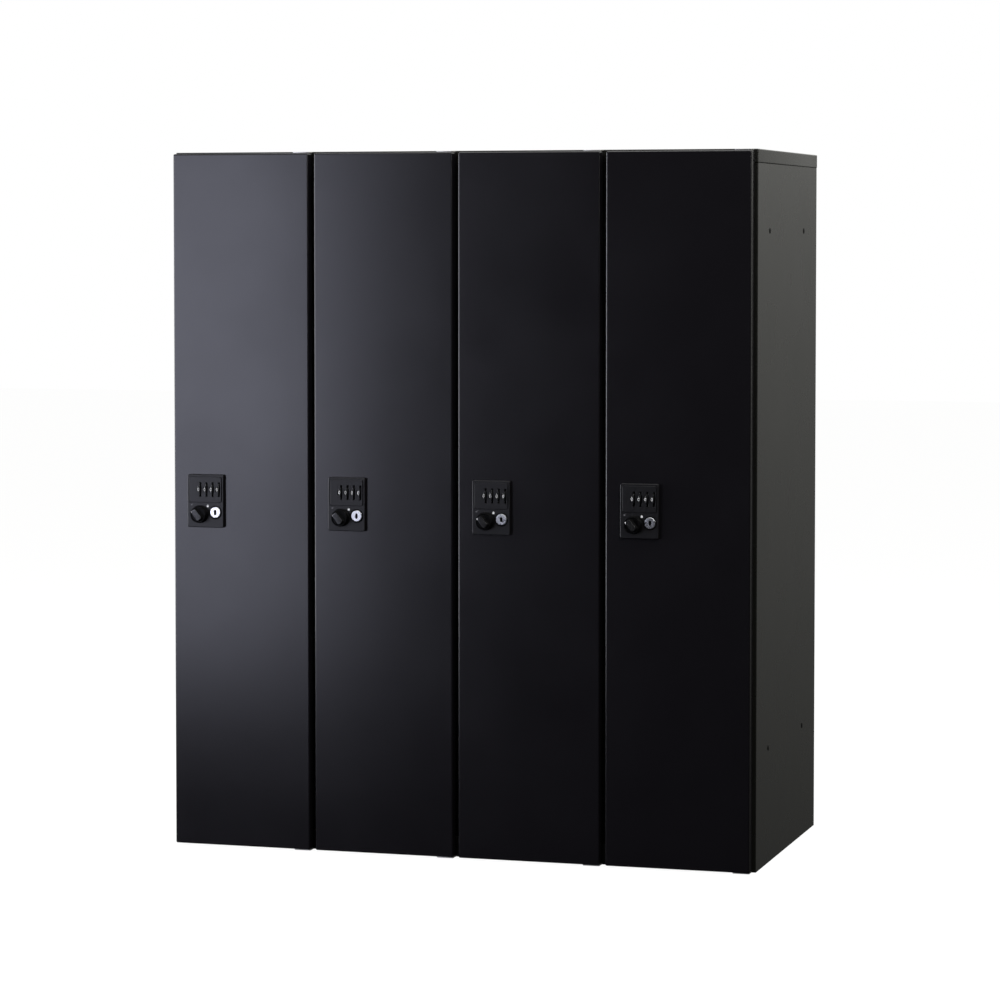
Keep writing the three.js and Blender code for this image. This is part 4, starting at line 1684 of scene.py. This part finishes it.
    def build(self) -> None:
        """Makes the panels, the cap, the partitions and the softened sheets."""
        for side, name in ((-1, "left"), (1, "right")):
            node = f"{name}_side_panel"
            skin = self.side_panel(side)
            place_piece(f"{name}_panel_skin", skin, BODY_PAINT, "cabinet", [node], sheet=SHEET)
            place_piece(f"{name}_hole_plugs", self.hole_plugs(side), HOLE_PLUG_BLACK_AND_PAINTED_SHADE, "cabinet")
        place_piece("cap_skin", self.top_cap(), BODY_PAINT, "cabinet", ["top_cap"], sheet=SHEET)
        for number in range(1, self.bays):
            post, sheet = self.partition(number)
            place_piece(f"partition_post_{number}", post, BODY_PAINT, "cabinet", sheet=SHEET)
            place_piece(f"partition_sheet_{number}", sheet, INSIDE_PAINT_WITH_PAINTED_LIGHT, "cabinet", [f"partition_{number}"])
        for node in ("bottom_panel", "back_panel", *(f"shelf_{n}" for n in range(1, self.bays + 1))):
            soften_node(node, INSIDE_PAINT_WITH_PAINTED_LIGHT, "cabinet", width=0.3 * MM)
        for number in range(1, self.bays + 1):
            for end in ("top", "bottom"):
                soften_node(f"hinge_{end}_{number}", ZINC, "cabinet", width=0.25 * MM)


@dataclass
class CoatRail:
    """Under each hat shelf: a rail from wall to wall, and two hooks on it.

    Attributes:
        number: The compartment's number.
        rail_radius: Of the rail.
        hook_wire: Radius of a hook's wire.
        drop: Shelf's underside to the rail.
    """

    number: int
    rail_radius: float = 6 * MM
    hook_wire: float = 1.6 * MM
    drop: float = 34 * MM

    def rail(self) -> Surface:
        """The rail, a round bar across the compartment with a flange at each end.

        Returns:
            The rail in the frame's axes.
        """
        shelf = Bounds.of(f"shelf_{self.number}")
        x, z = (shelf.low.x - 0.2 * MM, shelf.high.x + 0.2 * MM), shelf.high.z - self.drop
        y = shelf.low.y + 0.42 * shelf.size.y
        bar = tube(np.array([[x[0], y, z], [(x[0] + x[1]) / 2, y, z], [x[1], y, z]]), self.rail_radius, 24)
        cup = [(11 * MM, 0), (11 * MM, 1.2 * MM), (7.4 * MM, 3 * MM), (7 * MM, 7 * MM), (6.2 * MM, 7 * MM)]
        flange = lathe(cup, steps=32).turned(FACING_FRONT)
        left = flange.turned(rotation(2, -math.pi / 2)).moved(x[0], y, z)
        right = flange.turned(rotation(2, math.pi / 2)).moved(x[1], y, z)
        return joined([bar, left, right])

    def hooks(self) -> Surface:
        """Two wire hooks: a loop round the rail, a straight drop, and a half-round bowl.

        Returns:
            The hooks in the frame's axes.
        """
        shelf = Bounds.of(f"shelf_{self.number}")
        z = shelf.high.z - self.drop
        y = shelf.low.y + 0.42 * shelf.size.y
        loop_radius, bowl_radius, drop = self.rail_radius + self.hook_wire + 0.2 * MM, 11 * MM, 30 * MM
        loop = np.linspace(1.25 * np.pi, -0.5 * np.pi, 22)
        bowl = np.linspace(0, -np.pi, 18)
        path = np.concatenate(
            [
                np.stack([loop_radius * np.cos(loop), loop_radius * np.sin(loop)], -1),
                [
                    [bowl_radius * 0.1, -loop_radius - drop * 0.35],
                    [bowl_radius * 0.6, -loop_radius - drop * 0.75],
                ],
                np.stack([bowl_radius * np.cos(bowl), -loop_radius - drop + bowl_radius * np.sin(bowl)], -1),
                [[-bowl_radius - 1.5 * MM, -loop_radius - drop + 5 * MM]],
            ]
        )
        line = np.concatenate([np.zeros((len(path), 1)), path], -1)
        hook = tube(line, self.hook_wire, 10)
        span = shelf.size.x
        return joined(hook.moved(shelf.middle.x + side * span / 5, y, z) for side in (-1, 1))

    def build(self) -> None:
        """Makes the rail and its hooks."""
        place_piece(f"coat_rail_{self.number}", self.rail(), ZINC, "cabinet")
        place_piece(f"coat_hooks_{self.number}", self.hooks(), ZINC, "cabinet", crease=60)


# ---------------------------------------------------------------- the studio


@dataclass(frozen=True)
class SoftBox:
    """A rectangular light.

    Attributes:
        name: The light's name.
        place: Where its middle is.
        aim: The point that it faces.
        size: Its width and height.
        radiance: Brightness of its face, 1 being the white of the background.
        colour: Its colour.
    """

    name: str
    place: tuple[float, float, float]
    aim: tuple[float, float, float]
    size: tuple[float, float]
    radiance: float
    colour: tuple[float, float, float] = (1.0, 1.0, 1.0)

    def build(self) -> bpy.types.Object:
        """Adds the light. Its power is its radiance times pi times its area."""
        lamp = bpy.data.lights.new(self.name, "AREA")
        lamp.shape, lamp.size, lamp.size_y = "RECTANGLE", *self.size
        lamp.energy = self.radiance * math.pi * self.size[0] * self.size[1]
        lamp.color = self.colour
        made = bpy.data.objects.new(self.name, lamp)
        bpy.context.scene.collection.objects.link(made)
        made.location = self.place
        made.rotation_euler = (Vector(self.aim) - Vector(self.place)).to_track_quat("-Z", "Y").to_euler()
        made.visible_camera = False
        return made


@dataclass
class Studio:
    """The pale floor, the room's light, the lamps and the camera.

    Attributes:
        focal: The lens's focal length in mm on a 36 mm wide sensor.
        shift: How far the picture's middle is below the lens's axis, as a share of its width.
        place: The camera's place.
        swing: The camera's turn to the left, in degrees.
        dip: The camera's tilt down, in degrees.
        lamps: The lights.
    """

    focal: float = 123.66
    shift: float = -0.1
    place: tuple[float, float, float] = (1.5157, -5.0423, 0.9254)
    swing: float = 16.679
    dip: float = 2.746
    lamps: list[SoftBox] = field(
        default_factory=lambda: [
            SoftBox(
                "front_softbox", (-2.17, -3.0, 0.62), (-2.17, 0.0, 0.62), (2.0, 1.46), 3.1, (0.80, 0.82, 1.0)
            ),
            SoftBox("front_core", (-2.2, -3.05, 0.85), (-2.2, 0.0, 0.85), (2.0, 1.0), 0.8, (0.80, 0.82, 1.0)),
            SoftBox("left_softbox", (-3.4, -1.2, 0.7), (0.0, -0.5, 0.6), (2.4, 1.7), 9.0, (0.92, 0.94, 1.0)),
            SoftBox("top_softbox", (0.4, -0.9, 3.1), (0.2, -0.3, 0.5), (3.0, 2.4), 3.0, (1.0, 1.0, 1.0)),
            SoftBox("key_light", (2.6, -3.4, 2.4), (0.0, 0.0, 0.6), (1.2, 1.2), 15.0, (1.0, 1.0, 1.0)),
        ]
    )

    def camera(self) -> None:
        """Adds the camera."""
        lens = bpy.data.cameras.new("camera")
        lens.lens, lens.sensor_width, lens.shift_y = self.focal, 36.0, self.shift
        lens.clip_end = 60.0
        made = bpy.data.objects.new("camera", lens)
        bpy.context.scene.collection.objects.link(made)
        made.location = self.place
        made.rotation_euler = (math.radians(90 - self.dip), 0.0, math.radians(self.swing))
        bpy.context.scene.camera = made

    def floor(self) -> None:
        """Adds the floor, which glows a little under its own shade so that it stays pale."""
        rows = [(0, 0, 14, 14, 2, 0.0), (0, 0, 0.6, 0.6, 0.2, 0.0)]
        surface = loft(rows, steps=8, close=(False, True)).turned(FACING_UP)
        mesh = bpy.data.meshes.new("floor")
        faces = [row for group in surface.faces for row in group.tolist()]
        mesh.from_pydata(surface.points.tolist(), [], faces)
        made = bpy.data.objects.new("floor", mesh)
        bpy.context.scene.collection.objects.link(made)
        paper = bpy.data.materials.new("studio_paper")
        paper.use_nodes = True
        paper.node_tree.nodes.clear()
        graph = Graph(paper.node_tree)
        shade = graph.add("BsdfDiffuse", Color=(0.13, 0.13, 0.13, 1.0))
        glow = graph.add("Emission", Color=(1.0, 1.0, 1.0, 1.0), Strength=0.93)
        both = graph.add("AddShader")
        graph.feed(both.inputs[0], shade.outputs[0])
        graph.feed(both.inputs[1], glow.outputs[0])
        graph.feed(graph.add("OutputMaterial").inputs["Surface"], both.outputs[0])
        mesh.materials.append(paper)
        made.visible_glossy = made.visible_diffuse = made.visible_transmission = False

    def room(self) -> None:
        """Sets the world: white to the camera; to the object a pale wall behind, darker low down."""
        world = bpy.data.worlds.new("room")
        bpy.context.scene.world = world
        world.use_nodes = True
        world.node_tree.nodes.clear()
        graph = Graph(world.node_tree)
        way = graph.add("SeparateXYZ", Vector=graph.add("TexCoord").outputs["Generated"])
        low = graph.math("POWER", graph.span(way.outputs["Z"], -0.30, 0.12, 0.0, 1.0), 2.0)
        glow = graph.span(way.outputs["Z"], 0.02, 0.12, 0.0, 0.6)
        lift = graph.math("ADD", graph.span(low, 0.0, 1.0, 0.03, 0.50), glow)
        behind = graph.span(way.outputs["Y"], -0.2, 0.6, 0.02, 1.0)
        level = graph.math("MULTIPLY", lift, behind)
        around = graph.add("Background", Color=(1.0, 1.0, 0.95, 1.0), Strength=level)
        white = graph.add("Background", Color=(1.0, 1.0, 1.0, 1.0), Strength=1.0)
        seen = graph.add("LightPath").outputs["Is Camera Ray"]
        choice = graph.add("MixShader", Fac=seen)
        graph.feed(choice.inputs[1], around.outputs[0])
        graph.feed(choice.inputs[2], white.outputs[0])
        graph.feed(graph.add("OutputWorld").inputs["Surface"], choice.outputs[0])

    def build(self) -> None:
        """Adds everything that isn't the object."""
        self.camera()
        self.floor()
        self.room()
        for lamp in self.lamps:
            lamp.build()
        bpy.context.scene.view_settings.view_transform = "Standard"


def main() -> None:
    """Builds the studio and the cabinet, piece by piece."""
    logging.basicConfig(level=logging.INFO, format="%(name)s: %(message)s")
    Studio().build()
    Cabinet().build()
    for number in range(1, 5):
        Door(number).build()
        LockCase(number).build()
        Knob(number).build()
        KeyPlug(number).build()
        CoatRail(number).build()
        for letter in "abcd":
            DialWheel(number, letter).build()


if __name__ == "__main__":
    main()
